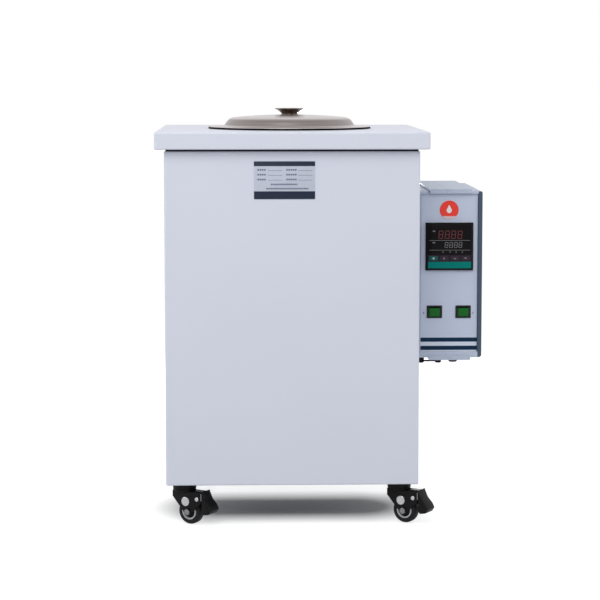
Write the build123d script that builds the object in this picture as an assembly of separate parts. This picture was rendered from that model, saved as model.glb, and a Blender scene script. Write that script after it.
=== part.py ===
from build123d import *
import math
import os

# Circulating water bath on castors, in millimetres.
# The origin is on the floor under the middle of the cabinet, -Y is the front and +Z is up.

# Clearances and the overrun of every cut
overrun = 5
fit_gap = 0.1
running_gap = 0.05
seat_gap = 0.3

# Cabinet of folded sheet steel
body_width = 490
body_depth = 490
body_height = 647
floor_gap = 80
sheet = 1.2
body_bend = 4
shell_flange = 20
rear_flange = 15
body_top = floor_gap + body_height
body_front = -body_depth / 2
body_rear = body_depth / 2
body_right = body_width / 2

# Base tray that carries the castors, the tank stand and the pump
tray_sheet = 2
tray_wall = 30
tray_corner = 6
tray_top = floor_gap + tray_sheet

# Top cover, a shallow pan turned upside down over the cabinet
cover_overhang = 18
cover_height = 33
cover_corner = 6
cover_edge = 2.5
seal_height = 4
seal_width = 12
seal_inset = 3
cover_bottom = body_top + seal_height
cover_top = cover_bottom + cover_height

# Tank, as wide as the narrower side of the cabinet lets it be
tank_margin = 55
tank_wall = 1.5
tank_bottom = 310
tank_corner = 12
shoulder_drop = 22
shoulder_width = 40
tank_rim_width = 8
insulation_thickness = 24
insulation_inset = 8
tank_radius = min(body_width, body_depth) / 2 - tank_margin
neck_radius = tank_radius - shoulder_width
tank_rim_radius = neck_radius + tank_rim_width

# Tank stand, its legs under the middle of the ring
leg_size = 20
stand_ring_thickness = 5
stand_ring_inset = 2
stand_ring_width = 30
stand_ring_outer = tank_radius - stand_ring_inset
stand_ring_inner = stand_ring_outer - stand_ring_width
leg_place = (stand_ring_inner + stand_ring_outer) / 2 * math.cos(math.radians(45))

# Heater, a tube bent into a rounded square above the tank bottom
heater_radius = 6
heater_wall_gap = 70
heater_straight = 9
heater_leg_place = 22
heater_half_loop = tank_radius - heater_wall_gap
heater_bend = (heater_half_loop - heater_leg_place) / 2 - heater_straight
heater_lift = 45
heater_end = 30
gland_radius = 11
gland_length = 9

# Temperature probe
probe_radius = 3
probe_reach = 50
probe_lift = 90

# Pipes
pipe_radius = 8
pipe_bore = 6.8
pipe_bend = 25
main_pipe_radius = 11
main_pipe_bore = 9
main_pipe_bend = 22
socket_depth = 10
socket_wall = 3

# Tank outlet
outlet_x = 30
outlet_y = -100

# Circulation pump, in the middle of the room between the outlet pipe and the left legs
pump_room = outlet_x - main_pipe_radius + leg_place - leg_size / 2
pump_x = outlet_x - main_pipe_radius - pump_room / 2
pump_y = 0
pump_rise = 75
pump_z = tray_top + pump_rise
housing_radius = 42
housing_wall = 4
housing_length = 38
inlet_length = 22
outlet_offset = 24
outlet_height = 60
impeller_radius = 32
impeller_length = 22
impeller_plate = 3
vane_count = 6
vane_thickness = 3
impeller_hub = 10
shaft_radius = 6
motor_share = 0.73
motor_radius = pump_room / 2 * motor_share
motor_length = 140
motor_wall = 6
motor_fin_count = 24
motor_fin_height = 4
motor_fin_width = 2
cowl_length = 35
cowl_wall = 2
core_share = 0.54
core_radius = motor_radius * core_share
core_length = 100
fan_share = 0.79
fan_radius = motor_radius * fan_share
fan_length = 14
saddle_thickness = 4
saddle_width = 84
saddle_inset = 20

# Drain
drain_reach = 10
valve_length = 42
valve_radius = 17
ball_radius = 12
ball_bore = 7
stem_radius = 4
bonnet_radius = 8
bonnet_height = 23
lever_length = 62
lever_width = 12
lever_thickness = 4
lever_grip_length = 34
lever_grip_margin = 2
spigot_radius = 8
spigot_bore = 6
spigot_length = 28
drain_spigot_length = 22

# Hose nozzles on the rear
nozzle_inset = 70
nozzle_spacing = 80
return_drop = 164
delivery_rise = 48
nozzle_x = nozzle_inset - body_width / 2
corner_y = body_rear - nozzle_inset
return_z = cover_top - return_drop
delivery_z = return_z - nozzle_spacing
delivery_low_z = pump_z + outlet_height + delivery_rise
nozzle_hex = 13
nozzle_nut = 6
nozzle_neck = 9
nozzle_inside = 16
return_reach = 10

# Rear panel vents and screws
vent_count = 8
vent_length = 90
vent_height = 5
vent_pitch = 15
vent_rise = 13
vent_offset = 105
vent_z = pump_z + vent_rise
vent_places = (outlet_x - vent_offset, outlet_x + vent_offset)
screw_radius = 2
screw_length = 8
screw_head_radius = 4
screw_head_height = 2.4
screw_rows = 4
screw_margin = 40

# Lid
lid_lap = 7
lid_rim_width = 31.5
lid_step_slope = 11
lid_radius = tank_rim_radius + lid_lap
lid_step_foot = lid_radius - lid_rim_width
lid_step_top = lid_step_foot - lid_step_slope
lid_sheet = 1.2
lid_seal_height = 3
lid_seal_width = 5.5
lid_seal_inset = 1.5
lid_step_height = 17.5
lid_dome = 4.5
lid_hem = 1.5

# Lid knob
knob_ring_radius = 22.5
knob_ring_height = 2.5
knob_foot_radius = 17
knob_rim_radius = 30
knob_height = 14.5
knob_rim_thickness = 2
knob_dish = 5
knob_screw_radius = 3
knob_screw_depth = 8
knob_screw_head_radius = 6
knob_screw_head = 3

# Control box, two moulded half shells
box_gap = 8
box_width = 135
box_bottom = 302.5
box_height = 336.5
box_front = -69
box_depth = 300
box_wall = 3
box_front_wall = 4
box_bevel = 9
box_corner = 4
box_seam_offset = 62.5
rib_margin = 28
rib_width = 83
rib_rise = 5
rib_lip = 3
rib_lip_height = 9
rib_fillet = 2
slot_width = 2.6
slot_depth = 2
box_left = body_right + box_gap
box_right = box_left + box_width
box_rear = box_front + box_depth
box_top = box_bottom + box_height
box_seam = box_left + box_seam_offset
rib_left = box_left + rib_margin
rib_right = rib_left + rib_width

# Box bracket and the hole for the wires
bracket_back = 189
bracket_rise = 167.5
bracket_y = box_front + bracket_back
bracket_z = box_bottom + bracket_rise
bracket_depth = 160
bracket_height = 180
wire_hole = 13

# Control panel
panel_margin = 9
panel_bottom_margin = 12
panel_top_margin = 5
panel_lap = 1.5
panel_thickness = 3
panel_face = box_front + box_front_wall

# Temperature controller
controller_size = 96
controller_drop = 63
controller_x = box_left + box_width / 2
controller_top = box_top - controller_drop
bezel_depth = 9
bezel_bevel = 4
case_size = 90
case_length = 70
case_wall = 2
window_width = 86
window_height = 60
window_thickness = 1.5
window_margin = 4
key_width = 17
key_height = 9
key_pitch = 21.6
key_row_drop = 71.5
key_proud = 0.8
key_depth = 6
key_names = ("set", "shift", "down", "up")

# Rocker switches
rocker_names = ("pump", "heater")
rocker_spacing = 58.1
rocker_rise = 92.8
rocker_places = (controller_x - rocker_spacing / 2, controller_x + rocker_spacing / 2)
rocker_z = box_bottom + rocker_rise
switch_width = 31.2
switch_height = 25.5
switch_rim = 2
switch_body_depth = 22
switch_body_margin = 2
switch_wall = 2
rocker_width = 21.5
rocker_height = 18.5
rocker_gap = 0.4
rocker_end_gap = 1.2
rocker_proud = 3.5
rocker_pivot_depth = 4
rocker_angle = 9

# Relay inside the box
relay_width = 24
relay_depth = 60
relay_height = 45
relay_back = 129
relay_rise = 57.5
relay_y = box_front + relay_back
relay_z = box_bottom + relay_rise
relay_fin_count = 6
relay_fin = 2
relay_fin_length = 18

# Glands under the box
gland_back = 39
twin_gland_margin = 15
twin_gland_spacing = 35
wide_gland_spacing = 30
gland_y = box_front + gland_back
twin_gland_places = (box_left + twin_gland_margin, box_left + twin_gland_margin + twin_gland_spacing)
single_gland_place = twin_gland_places[1] + wide_gland_spacing
cable_gland_radius = 7.5
cable_gland_drop = 16
wide_gland_radius = 11
wide_gland_drop = 14
gland_thread = 5
gland_bridge = 2.5
gland_bridge_depth = 14
gland_bridge_lift = 2.5

# Nameplate
plate_x = -15
plate_width = 117
plate_height = 74
plate_thickness = 0.6
plate_drop = 22

# Castors with a threaded stem, a swivel head and a wheel brake
castor_inset = 35
castor_heading = -33
race_radius = 23
race_height = 10
race_edge = 3
stem_thread_radius = 5
stem_thread_length = 24
kingpin_head_radius = 8
kingpin_head_height = 2.2
nut_radius = 9
nut_height = 8
washer_radius = 11
washer_thickness = 1.5
wheel_radius = 25
wheel_width = 18
tread_round = 5
core_rim_radius = 17
core_web = 14
core_hub_radius = 7
wheel_ring_outer = 14.5
wheel_ring_width = 2
wheel_ring_rise = 1
trail = 16
fork_inner = 21
fork_plate = 2.5
fork_crown_thickness = 3.5
lower_race_height = 4
fork_crown_top = floor_gap - race_height - lower_race_height
lower_race_radius = 21
fork_end_radius = 10
fork_front = -20
fork_front_drop = 13
fork_rear = 47
fork_rear_drop = 20
fork_rear_top = 44
axle_radius = 4
axle_nut_radius = 6.5
axle_nut_height = 4
cap_radius = 9.5
cap_height = 1.5
cap_x = 10.4
cap_rise = 20
cap_z = wheel_radius + cap_rise
pivot_x = 37
pivot_rise = 27
pivot_z = wheel_radius + pivot_rise
pivot_radius = 2.5
pivot_head_radius = 4.5
pivot_head_height = 1.8
pedal_boss_radius = 6.5
pedal_neck_width = 20
pedal_width = 30
pedal_neck_reach = 50
pedal_neck_rise = 8
pedal_neck_drop = 6
pedal_start = 48.5
pedal_depth = 22.5
pedal_drop = 2.4
pedal_height = 46.4
pedal_shares = ((0, 1), (0.18, 0.81), (0.36, 0.63), (0.82, 0.4), (1, 0.22), (0.78, 0.05), (0.2, 0),
                (0.02, 0.16), (0.07, 0.46), (0, 0.68))
pedal_round = 2
castor_names = ("front_left", "front_right", "rear_left", "rear_right")


# Shapes used by several pieces

def block(x_ends, y_ends, z_ends):
    """Box between two values on each axis."""
    ends = (x_ends, y_ends, z_ends)
    sizes = [high - low for low, high in ends]
    middle = [(low + high) / 2 for low, high in ends]
    return Pos(*middle) * Box(*sizes)


def rod(radius, start, end):
    """Round bar between two points."""
    axis = Vector(*end) - Vector(*start)
    seat = Plane(origin=start, z_dir=axis)
    return seat * Cylinder(radius, axis.length, align=(Align.CENTER, Align.CENTER, Align.MIN))


def hexagon(radius, start, end):
    """Hexagonal bar between two points, sized across its corners."""
    axis = Vector(*end) - Vector(*start)
    face = Plane(origin=start, z_dir=axis) * RegularPolygon(radius, 6)
    return extrude(face, amount=axis.length, dir=axis.normalized())


def turned(points):
    """Solid of revolution about Z from (radius, height) points."""
    outline = Polyline([(radius, 0, height) for radius, height in points], close=True)
    return revolve(make_face(outline), Axis.Z)


def bar_along(points, bend, radius):
    """Round bar along straight runs joined by bends of one radius."""
    path = FilletPolyline(*points, radius=bend)
    return sweep(Plane(origin=path @ 0, z_dir=path % 0) * Circle(radius), path=path)


def side_plate(points, width):
    """Prism across Y, centred on it, from (x, z) points."""
    outline = Polyline([(x, -width / 2, z) for x, z in points], close=True)
    return extrude(make_face(outline), amount=width, dir=(0, 1, 0))


def side_hull(centre, radius, points, width, middle=0):
    """Prism across Y whose outline is drawn tight round a circle and a row of (x, z) points."""
    seat = Plane(origin=(0, middle + width / 2, 0), x_dir=(1, 0, 0), z_dir=(0, -1, 0))
    edges = (Pos(*centre) * Circle(radius)).edges() + Polyline(*points).edges()
    return extrude(seat * make_hull(edges), amount=width)


# Cabinet

def screw_places():
    """Places of the rear panel's screws, in two columns."""
    column = body_width / 2 - sheet - rear_flange / 2
    rise = (body_height - screw_margin - screw_margin) / (screw_rows - 1)
    heights = [floor_gap + screw_margin + rise * row for row in range(screw_rows)]
    return [(x, z) for x in (-column, column) for z in heights]


def make_cabinet_shell():
    """Front and both sides in one folded sheet with rear flanges, and the flat frame welded in its top."""
    back = body_rear - sheet
    half = body_width / 2
    inside = half - sheet
    shell = block((-half, half), (body_front, back), (floor_gap, body_top))
    front_edges = shell.edges().filter_by(Axis.Z).group_by(Axis.Y)[0]
    shell = fillet(front_edges, body_bend)
    cavity = block((-inside, inside), (body_front + sheet, back - sheet),
                   (floor_gap - overrun, body_top + overrun))
    cavity = fillet(cavity.edges().filter_by(Axis.Z).group_by(Axis.Y)[0], body_bend - sheet)
    rear_gap = inside - rear_flange
    top_gap = half - shell_flange
    shell -= cavity
    shell -= block((-rear_gap, rear_gap), (back - sheet - overrun, back + overrun),
                   (floor_gap - overrun, body_top + overrun))
    shell -= rod(wire_hole, (inside - overrun, bracket_y, bracket_z),
                 (half + overrun, bracket_y, bracket_z))
    for x, z in screw_places():
        shell -= rod(screw_radius + fit_gap, (x, back - sheet - overrun, z), (x, back + overrun, z))
    frame = block((-inside, inside), (body_front + sheet, back - sheet), (body_top - sheet, body_top))
    frame = fillet(frame.edges().filter_by(Axis.Z).group_by(Axis.Y)[0], body_bend - sheet)
    frame -= block((-top_gap, top_gap), (body_front + shell_flange, back + overrun),
                   (body_top - sheet - overrun, body_top + overrun))
    return Compound(children=[shell, frame])


def make_rear_panel():
    """Flat rear sheet with vent slots and the holes of the fittings."""
    half = body_width / 2
    ends = (body_rear - sheet, body_rear)
    through = (body_rear - sheet - overrun, body_rear + overrun)
    panel = block((-half, half), ends, (floor_gap, body_top))
    for x in vent_places:
        for row in range(vent_count):
            z = vent_z + vent_pitch * (row - (vent_count - 1) / 2)
            panel -= block((x - vent_length / 2, x + vent_length / 2), through,
                           (z - vent_height / 2, z + vent_height / 2))
    for z in (delivery_z, return_z):
        panel -= rod(nozzle_neck + fit_gap, (nozzle_x, through[0], z), (nozzle_x, through[1], z))
    panel -= rod(main_pipe_radius + seat_gap, (outlet_x, through[0], pump_z),
                 (outlet_x, through[1], pump_z))
    for x, z in screw_places():
        panel -= rod(screw_radius + fit_gap, (x, through[0], z), (x, through[1], z))
    return panel


def make_panel_screws():
    """Pan-head screws that hold the rear panel."""
    screws = []
    for x, z in screw_places():
        head = rod(screw_head_radius, (x, body_rear, z), (x, body_rear + screw_head_height, z))
        shank = rod(screw_radius, (x, body_rear - screw_length, z), (x, body_rear, z))
        screws.append(head + shank)
    return Compound(children=screws)


def castor_places():
    """Floor places of the four swivel axes, in the order of their names."""
    x = body_width / 2 - castor_inset
    y = body_depth / 2 - castor_inset
    return [(-x, -y), (x, -y), (-x, y), (x, y)]


def make_base_frame():
    """Tray of folded sheet that closes the bottom of the cabinet."""
    half = body_width / 2 - sheet
    front = body_front + sheet
    back = body_rear - sheet - sheet
    tray = block((-half, half), (front, back), (floor_gap, floor_gap + tray_wall))
    tray = fillet(tray.edges().filter_by(Axis.Z), tray_corner)
    hollow = block((-half + tray_sheet, half - tray_sheet), (front + tray_sheet, back - tray_sheet),
                   (tray_top, floor_gap + tray_wall + overrun))
    tray -= fillet(hollow.edges().filter_by(Axis.Z), tray_corner - tray_sheet)
    for x, y in castor_places():
        tray -= rod(stem_thread_radius + fit_gap, (x, y, floor_gap - overrun), (x, y, tray_top + overrun))
    return tray


def make_cover_seal():
    """Flat rubber frame between the cabinet and the cover."""
    outer_x = body_width / 2 - seal_inset
    outer_y = body_depth / 2 - seal_inset
    levels = (body_top, cover_bottom)
    seal = block((-outer_x, outer_x), (-outer_y, outer_y), levels)
    inner_x = outer_x - seal_width
    inner_y = outer_y - seal_width
    return seal - block((-inner_x, inner_x), (-inner_y, inner_y),
                        (body_top - overrun, cover_bottom + overrun))


def make_top_cover():
    """Overhanging cover with a skirt, a return flange and the round hole for the tank."""
    half_x = body_width / 2 + cover_overhang
    half_y = body_depth / 2 + cover_overhang
    cover = block((-half_x, half_x), (-half_y, half_y), (cover_bottom, cover_top))
    cover = fillet(cover.edges().filter_by(Axis.Z), cover_corner)
    cover = fillet(cover.edges().group_by(Axis.Z)[-1], cover_edge)
    hollow = block((-half_x + sheet, half_x - sheet), (-half_y + sheet, half_y - sheet),
                   (cover_bottom + sheet, cover_top - sheet))
    hollow = fillet(hollow.edges().filter_by(Axis.Z), cover_corner - sheet)
    open_x = body_width / 2 - shell_flange
    open_y = body_depth / 2 - shell_flange
    cover -= fillet(hollow.edges().group_by(Axis.Z)[-1], cover_edge - sheet)
    cover -= block((-open_x, open_x), (-open_y, open_y),
                   (cover_bottom - overrun, cover_bottom + sheet + overrun))
    return cover - rod(neck_radius + seat_gap, (0, 0, cover_bottom), (0, 0, cover_top + overrun))


# Tank and what is fitted to it

def return_wall_point(radius):
    """Point on the diagonal towards the rear left at a distance from the tank's axis."""
    share = math.cos(math.radians(45))
    return (-radius * share, radius * share, return_z)


def heater_points(reach):
    """Route of the heater, from one end outside the tank wall to the other."""
    loop = heater_half_loop
    leg = heater_leg_place
    height = tank_bottom + heater_lift
    flat = ((reach, -leg), (loop, -leg), (loop, -loop), (-loop, -loop), (-loop, loop), (loop, loop),
            (loop, leg), (reach, leg))
    return [(x, y, height) for x, y in flat]


def make_tank():
    """Round tank: a wall with a rolled foot and a narrower neck, and the flat floor welded in its foot."""
    shoulder = cover_top - shoulder_drop
    rim_top = cover_top + tank_wall
    tank = turned(((0, tank_bottom), (tank_radius, tank_bottom), (tank_radius, shoulder),
                   (neck_radius, shoulder), (neck_radius, cover_top), (tank_rim_radius, cover_top),
                   (tank_rim_radius, rim_top), (0, rim_top)))
    tank = fillet(tank.edges().group_by(Axis.Z)[0], tank_corner)
    inner = tank_radius - tank_wall
    inner_neck = neck_radius - tank_wall
    floor = tank_bottom + tank_wall
    cavity = turned(((0, floor), (inner, floor), (inner, shoulder - tank_wall),
                     (inner_neck, shoulder - tank_wall), (inner_neck, rim_top + overrun),
                     (0, rim_top + overrun)))
    tank -= fillet(cavity.edges().group_by(Axis.Z)[0], tank_corner - tank_wall)
    near = inner - tank_corner
    far = tank_radius + overrun
    for y in (-heater_leg_place, heater_leg_place):
        z = tank_bottom + heater_lift
        tank -= rod(heater_radius + fit_gap, (near, y, z), (far, y, z))
    z = tank_bottom + probe_lift
    tank -= rod(probe_radius + fit_gap, (near, 0, z), (far, 0, z))
    tank -= rod(pipe_radius + fit_gap, return_wall_point(near), return_wall_point(far))
    tank -= rod(main_pipe_radius + fit_gap, (outlet_x, outlet_y, tank_bottom - overrun),
                (outlet_x, outlet_y, floor + overrun))
    floor_disc = rod(tank_radius - tank_corner, (0, 0, tank_bottom - overrun), (0, 0, floor + overrun))
    return Compound(children=[tank - floor_disc, tank & floor_disc])


def make_tank_stand():
    """Ring on four square legs that carries the tank."""
    ring_bottom = tank_bottom - stand_ring_thickness
    stand = rod(stand_ring_outer, (0, 0, ring_bottom), (0, 0, tank_bottom))
    stand -= rod(stand_ring_inner, (0, 0, ring_bottom - overrun), (0, 0, tank_bottom + overrun))
    for x in (-leg_place, leg_place):
        for y in (-leg_place, leg_place):
            stand += block((x - leg_size / 2, x + leg_size / 2), (y - leg_size / 2, y + leg_size / 2),
                           (tray_top, ring_bottom))
    return stand


def make_insulation_wrap():
    """Mineral wool blanket round the tank wall, cut back round the fittings."""
    low = tank_bottom + insulation_inset
    high = cover_top - shoulder_drop - insulation_inset
    outer = tank_radius + seat_gap + insulation_thickness
    wrap = rod(outer, (0, 0, low), (0, 0, high))
    wrap -= rod(tank_radius + seat_gap, (0, 0, low - overrun), (0, 0, high + overrun))
    side = heater_leg_place + gland_radius + overrun
    wrap -= block((0, outer + overrun), (-side, side),
                  (low - overrun, tank_bottom + probe_lift + gland_radius + overrun))
    return wrap - rod(pipe_radius + seat_gap, return_wall_point(tank_radius - overrun),
                      return_wall_point(outer + overrun))


def make_heater():
    """Sheathed heater with a gland at each end of its tube."""
    reach = tank_radius + heater_end
    heater = bar_along(heater_points(reach), heater_bend, heater_radius)
    z = tank_bottom + heater_lift
    near = tank_radius + seat_gap
    for y in (-heater_leg_place, heater_leg_place):
        heater += hexagon(gland_radius, (near, y, z), (near + gland_length, y, z))
    return heater


def make_temperature_probe():
    """Sensor sheath through the tank wall with its gland."""
    z = tank_bottom + probe_lift
    near = tank_radius + seat_gap
    probe = rod(probe_radius, (tank_radius - probe_reach, 0, z), (tank_radius + heater_end, 0, z))
    return probe + hexagon(gland_radius, (near, 0, z), (near + gland_length, 0, z))


# Pump and pipes

def make_pump_housing():
    """Volute with an inlet socket in front and an outlet socket on top."""
    rear = pump_y
    front = rear - housing_length
    axis = (pump_x, pump_z)
    outlet_x_place = pump_x - outlet_offset
    middle = (front + rear) / 2
    outlet_top = pump_z + outlet_height
    housing = rod(housing_radius, (axis[0], front, axis[1]), (axis[0], rear, axis[1]))
    housing += rod(main_pipe_radius + socket_wall, (axis[0], front - inlet_length, axis[1]),
                   (axis[0], front, axis[1]))
    housing += rod(pipe_radius + socket_wall, (outlet_x_place, middle, pump_z),
                   (outlet_x_place, middle, outlet_top))
    cavity = housing_radius - housing_wall
    housing -= rod(cavity, (axis[0], front + housing_wall, axis[1]),
                   (axis[0], rear - housing_wall, axis[1]))
    housing -= rod(main_pipe_bore, (axis[0], front - inlet_length, axis[1]),
                   (axis[0], front + housing_wall, axis[1]))
    housing -= rod(main_pipe_radius + fit_gap, (axis[0], front - inlet_length - overrun, axis[1]),
                   (axis[0], front - inlet_length + socket_depth, axis[1]))
    housing -= rod(pipe_bore, (outlet_x_place, middle, pump_z), (outlet_x_place, middle, outlet_top))
    housing -= rod(pipe_radius + fit_gap, (outlet_x_place, middle, outlet_top - socket_depth),
                   (outlet_x_place, middle, outlet_top + overrun))
    return housing - rod(shaft_radius + running_gap, (axis[0], rear - housing_wall - overrun, axis[1]),
                         (axis[0], rear + overrun, axis[1]))


def motor_rod(radius, start, end):
    """Bar on the pump's axis between two distances behind the housing."""
    return rod(radius, (pump_x, pump_y + start, pump_z), (pump_x, pump_y + end, pump_z))


def make_pump_motor():
    """Finned motor casing with a cowl over its fan."""
    body = motor_radius - motor_fin_height
    motor = motor_rod(body, 0, motor_length)
    for fin in range(motor_fin_count):
        rib = block((body - motor_wall / 2, motor_radius), (motor_wall, motor_length - motor_wall),
                    (-motor_fin_width / 2, motor_fin_width / 2))
        motor += Pos(pump_x, pump_y, pump_z) * Rot(0, 360 / motor_fin_count * fin, 0) * rib
    end = motor_length + cowl_length
    motor += motor_rod(body, motor_length, end)
    motor -= motor_rod(core_radius + seat_gap, motor_wall, motor_length - motor_wall)
    motor -= motor_rod(body - cowl_wall, motor_length, end - cowl_wall)
    motor -= motor_rod(body / 2, end - cowl_wall - overrun, end + overrun)
    return motor - motor_rod(shaft_radius + running_gap, -overrun, motor_length + overrun)


def make_pump_rotor():
    """Shaft with its rotor core, the impeller and the cooling fan, as three solids."""
    core_start = (motor_length - core_length) / 2
    impeller_end = -housing_wall - (housing_length - housing_wall - housing_wall - impeller_length) / 2
    impeller_start = impeller_end - impeller_length
    fan_start = motor_length + (cowl_length - cowl_wall - fan_length) / 2
    fan_end = fan_start + fan_length
    shaft = motor_rod(shaft_radius, impeller_start, fan_end)
    shaft += motor_rod(core_radius, core_start, core_start + core_length)
    bore = motor_rod(shaft_radius + fit_gap, impeller_start - overrun, fan_end + overrun)
    impeller = motor_rod(impeller_radius, impeller_end - impeller_plate, impeller_end)
    impeller += motor_rod(impeller_hub, impeller_start, impeller_end)
    fan = motor_rod(impeller_hub, fan_start, fan_end)
    turns = [Pos(pump_x, pump_y, pump_z) * Rot(0, 360 / vane_count * vane, 0) for vane in range(vane_count)]
    vane_ends = (-vane_thickness / 2, vane_thickness / 2)
    for turn in turns:
        impeller += turn * block((shaft_radius + fit_gap, impeller_radius),
                                 (impeller_start, impeller_end), vane_ends)
        fan += turn * block((shaft_radius + fit_gap, fan_radius), (fan_start, fan_end), vane_ends)
    return Compound(children=[shaft, impeller - bore, fan - bore])


def make_pump_bracket():
    """Foot with two saddles under the motor."""
    low = tray_top
    half = saddle_width / 2
    near = pump_y + saddle_inset
    far = pump_y + motor_length - saddle_inset
    bracket = block((pump_x - half, pump_x + half), (near, far), (low, low + saddle_thickness))
    for y in (near, far - saddle_thickness):
        bracket += block((pump_x - half, pump_x + half), (y, y + saddle_thickness), (low, pump_z))
    return bracket - motor_rod(motor_radius + seat_gap, -overrun, motor_length + overrun)


def make_outlet_manifold():
    """Welded pipe from the tank bottom to the pump inlet and through the rear to the drain."""
    top = (outlet_x, outlet_y, tank_bottom + tank_wall)
    tee = (outlet_x, outlet_y, pump_z)
    corner = (pump_x, outlet_y, pump_z)
    inlet = (pump_x, pump_y - housing_length - inlet_length + socket_depth, pump_z)
    drain = (outlet_x, body_rear + drain_reach, pump_z)

    def branches(radius, extra):
        """All branches with one radius, their ends longer by the extra length."""
        suction = bar_along((tee, corner, (inlet[0], inlet[1] + extra, inlet[2])), main_pipe_bend, radius)
        down = rod(radius, tee, (top[0], top[1], top[2] + extra))
        rearward = rod(radius, tee, (drain[0], drain[1] + extra, drain[2]))
        return suction + down + rearward + Pos(*tee) * Sphere(radius)

    return branches(main_pipe_radius, 0) - branches(main_pipe_bore, overrun)


def hollow_pipe(points):
    """Small pipe along a route, with its bore."""
    return bar_along(points, pipe_bend, pipe_radius) - bar_along(points, pipe_bend, pipe_bore)


def make_delivery_pipe():
    """Pipe from the pump to the left, back and up the rear corner, to its nozzle."""
    x = pump_x - outlet_offset
    y = pump_y - housing_length / 2
    start = pump_z + outlet_height - socket_depth
    end = body_rear - sheet - nozzle_inside + socket_depth
    return hollow_pipe(((x, y, start), (x, y, delivery_low_z), (nozzle_x, y, delivery_low_z),
                        (nozzle_x, corner_y, delivery_low_z), (nozzle_x, corner_y, delivery_z),
                        (nozzle_x, end, delivery_z)))


def make_return_pipe():
    """Pipe from the return nozzle through the tank wall."""
    end = body_rear - sheet - nozzle_inside + socket_depth
    inside = tank_radius - tank_wall - return_reach
    return hollow_pipe(((nozzle_x, end, return_z), (nozzle_x, -nozzle_x, return_z),
                        return_wall_point(inside)))


def make_hose_nozzles():
    """Two bulkhead fittings with a spigot for a hose."""
    inner = body_rear - sheet
    nut_end = body_rear + nozzle_nut
    tip = nut_end + spigot_length
    fittings = []
    for z in (delivery_z, return_z):

        def along(radius, start, end, level=z):
            """Bar on this fitting's axis."""
            return rod(radius, (nozzle_x, start, level), (nozzle_x, end, level))

        fitting = hexagon(nozzle_hex, (nozzle_x, inner - nozzle_inside, z), (nozzle_x, inner, z))
        fitting += along(nozzle_neck, inner, body_rear)
        fitting += hexagon(nozzle_hex, (nozzle_x, body_rear, z), (nozzle_x, nut_end, z))
        fitting += along(spigot_radius, nut_end, tip)
        fitting -= along(spigot_bore, inner - nozzle_inside - overrun, tip + overrun)
        fitting -= along(pipe_radius + fit_gap, inner - nozzle_inside - overrun,
                         inner - nozzle_inside + socket_depth)
        fittings.append(fitting)
    return Compound(children=fittings)


def valve_middle():
    """Centre of the ball in the drain valve."""
    start = body_rear + drain_reach - socket_depth + seat_gap
    return (outlet_x, start + socket_depth + ball_radius + running_gap, pump_z)


def make_drain_valve_body():
    """Ball valve body that sits on the drain pipe, with a hose spigot."""
    start = body_rear + drain_reach - socket_depth + seat_gap
    end = start + valve_length
    tip = end + drain_spigot_length
    centre = valve_middle()
    x = outlet_x
    body = rod(valve_radius, (x, start, pump_z), (x, end, pump_z))
    body += rod(spigot_radius, (x, end, pump_z), (x, tip, pump_z))
    body += rod(bonnet_radius, centre, (x, centre[1], pump_z + bonnet_height))
    body -= rod(spigot_bore, (x, start - overrun, pump_z), (x, tip + overrun, pump_z))
    body -= rod(main_pipe_radius + fit_gap, (x, start - overrun, pump_z), (x, start + socket_depth, pump_z))
    body -= Pos(*centre) * Sphere(ball_radius + running_gap)
    return body - rod(stem_radius + running_gap, centre, (x, centre[1], pump_z + bonnet_height + overrun))


def make_drain_valve_ball():
    """Ball with its stem, drawn closed, so that its bore lies across the pipe."""
    centre = valve_middle()
    top = pump_z + bonnet_height + seat_gap + lever_thickness
    ball = Pos(*centre) * Sphere(ball_radius)
    ball -= rod(ball_bore, (centre[0] - valve_radius, centre[1], pump_z),
                (centre[0] + valve_radius, centre[1], pump_z))
    return ball + rod(stem_radius, (centre[0], centre[1], pump_z + ball_bore + fit_gap),
                      (centre[0], centre[1], top))


def make_drain_valve_lever():
    """Flat lever with a dipped grip, across the pipe when the valve is closed."""
    centre = valve_middle()
    low = pump_z + bonnet_height + seat_gap
    half = lever_width / 2
    end = centre[0] + lever_length
    ends_y = (centre[1] - half, centre[1] + half)
    lever = block((centre[0] - half, end), ends_y, (low, low + lever_thickness))
    lever = fillet(lever.edges().filter_by(Axis.Z), half - fit_gap)
    margin = lever_grip_margin
    grip = block((end - lever_grip_length, end + margin), (ends_y[0] - margin, ends_y[1] + margin),
                 (low - margin, low + lever_thickness + margin))
    lever += fillet(grip.edges(), margin - fit_gap)
    return lever - rod(stem_radius + fit_gap, (centre[0], centre[1], low - overrun),
                       (centre[0], centre[1], low + lever_thickness + overrun))


# Lid

def make_lid_seal():
    """Black ring under the edge of the lid."""
    outer = lid_radius - lid_seal_inset
    low = cover_top + fit_gap
    seal = rod(outer, (0, 0, low), (0, 0, low + lid_seal_height))
    return seal - rod(outer - lid_seal_width, (0, 0, low - overrun),
                      (0, 0, low + lid_seal_height + overrun))


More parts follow.
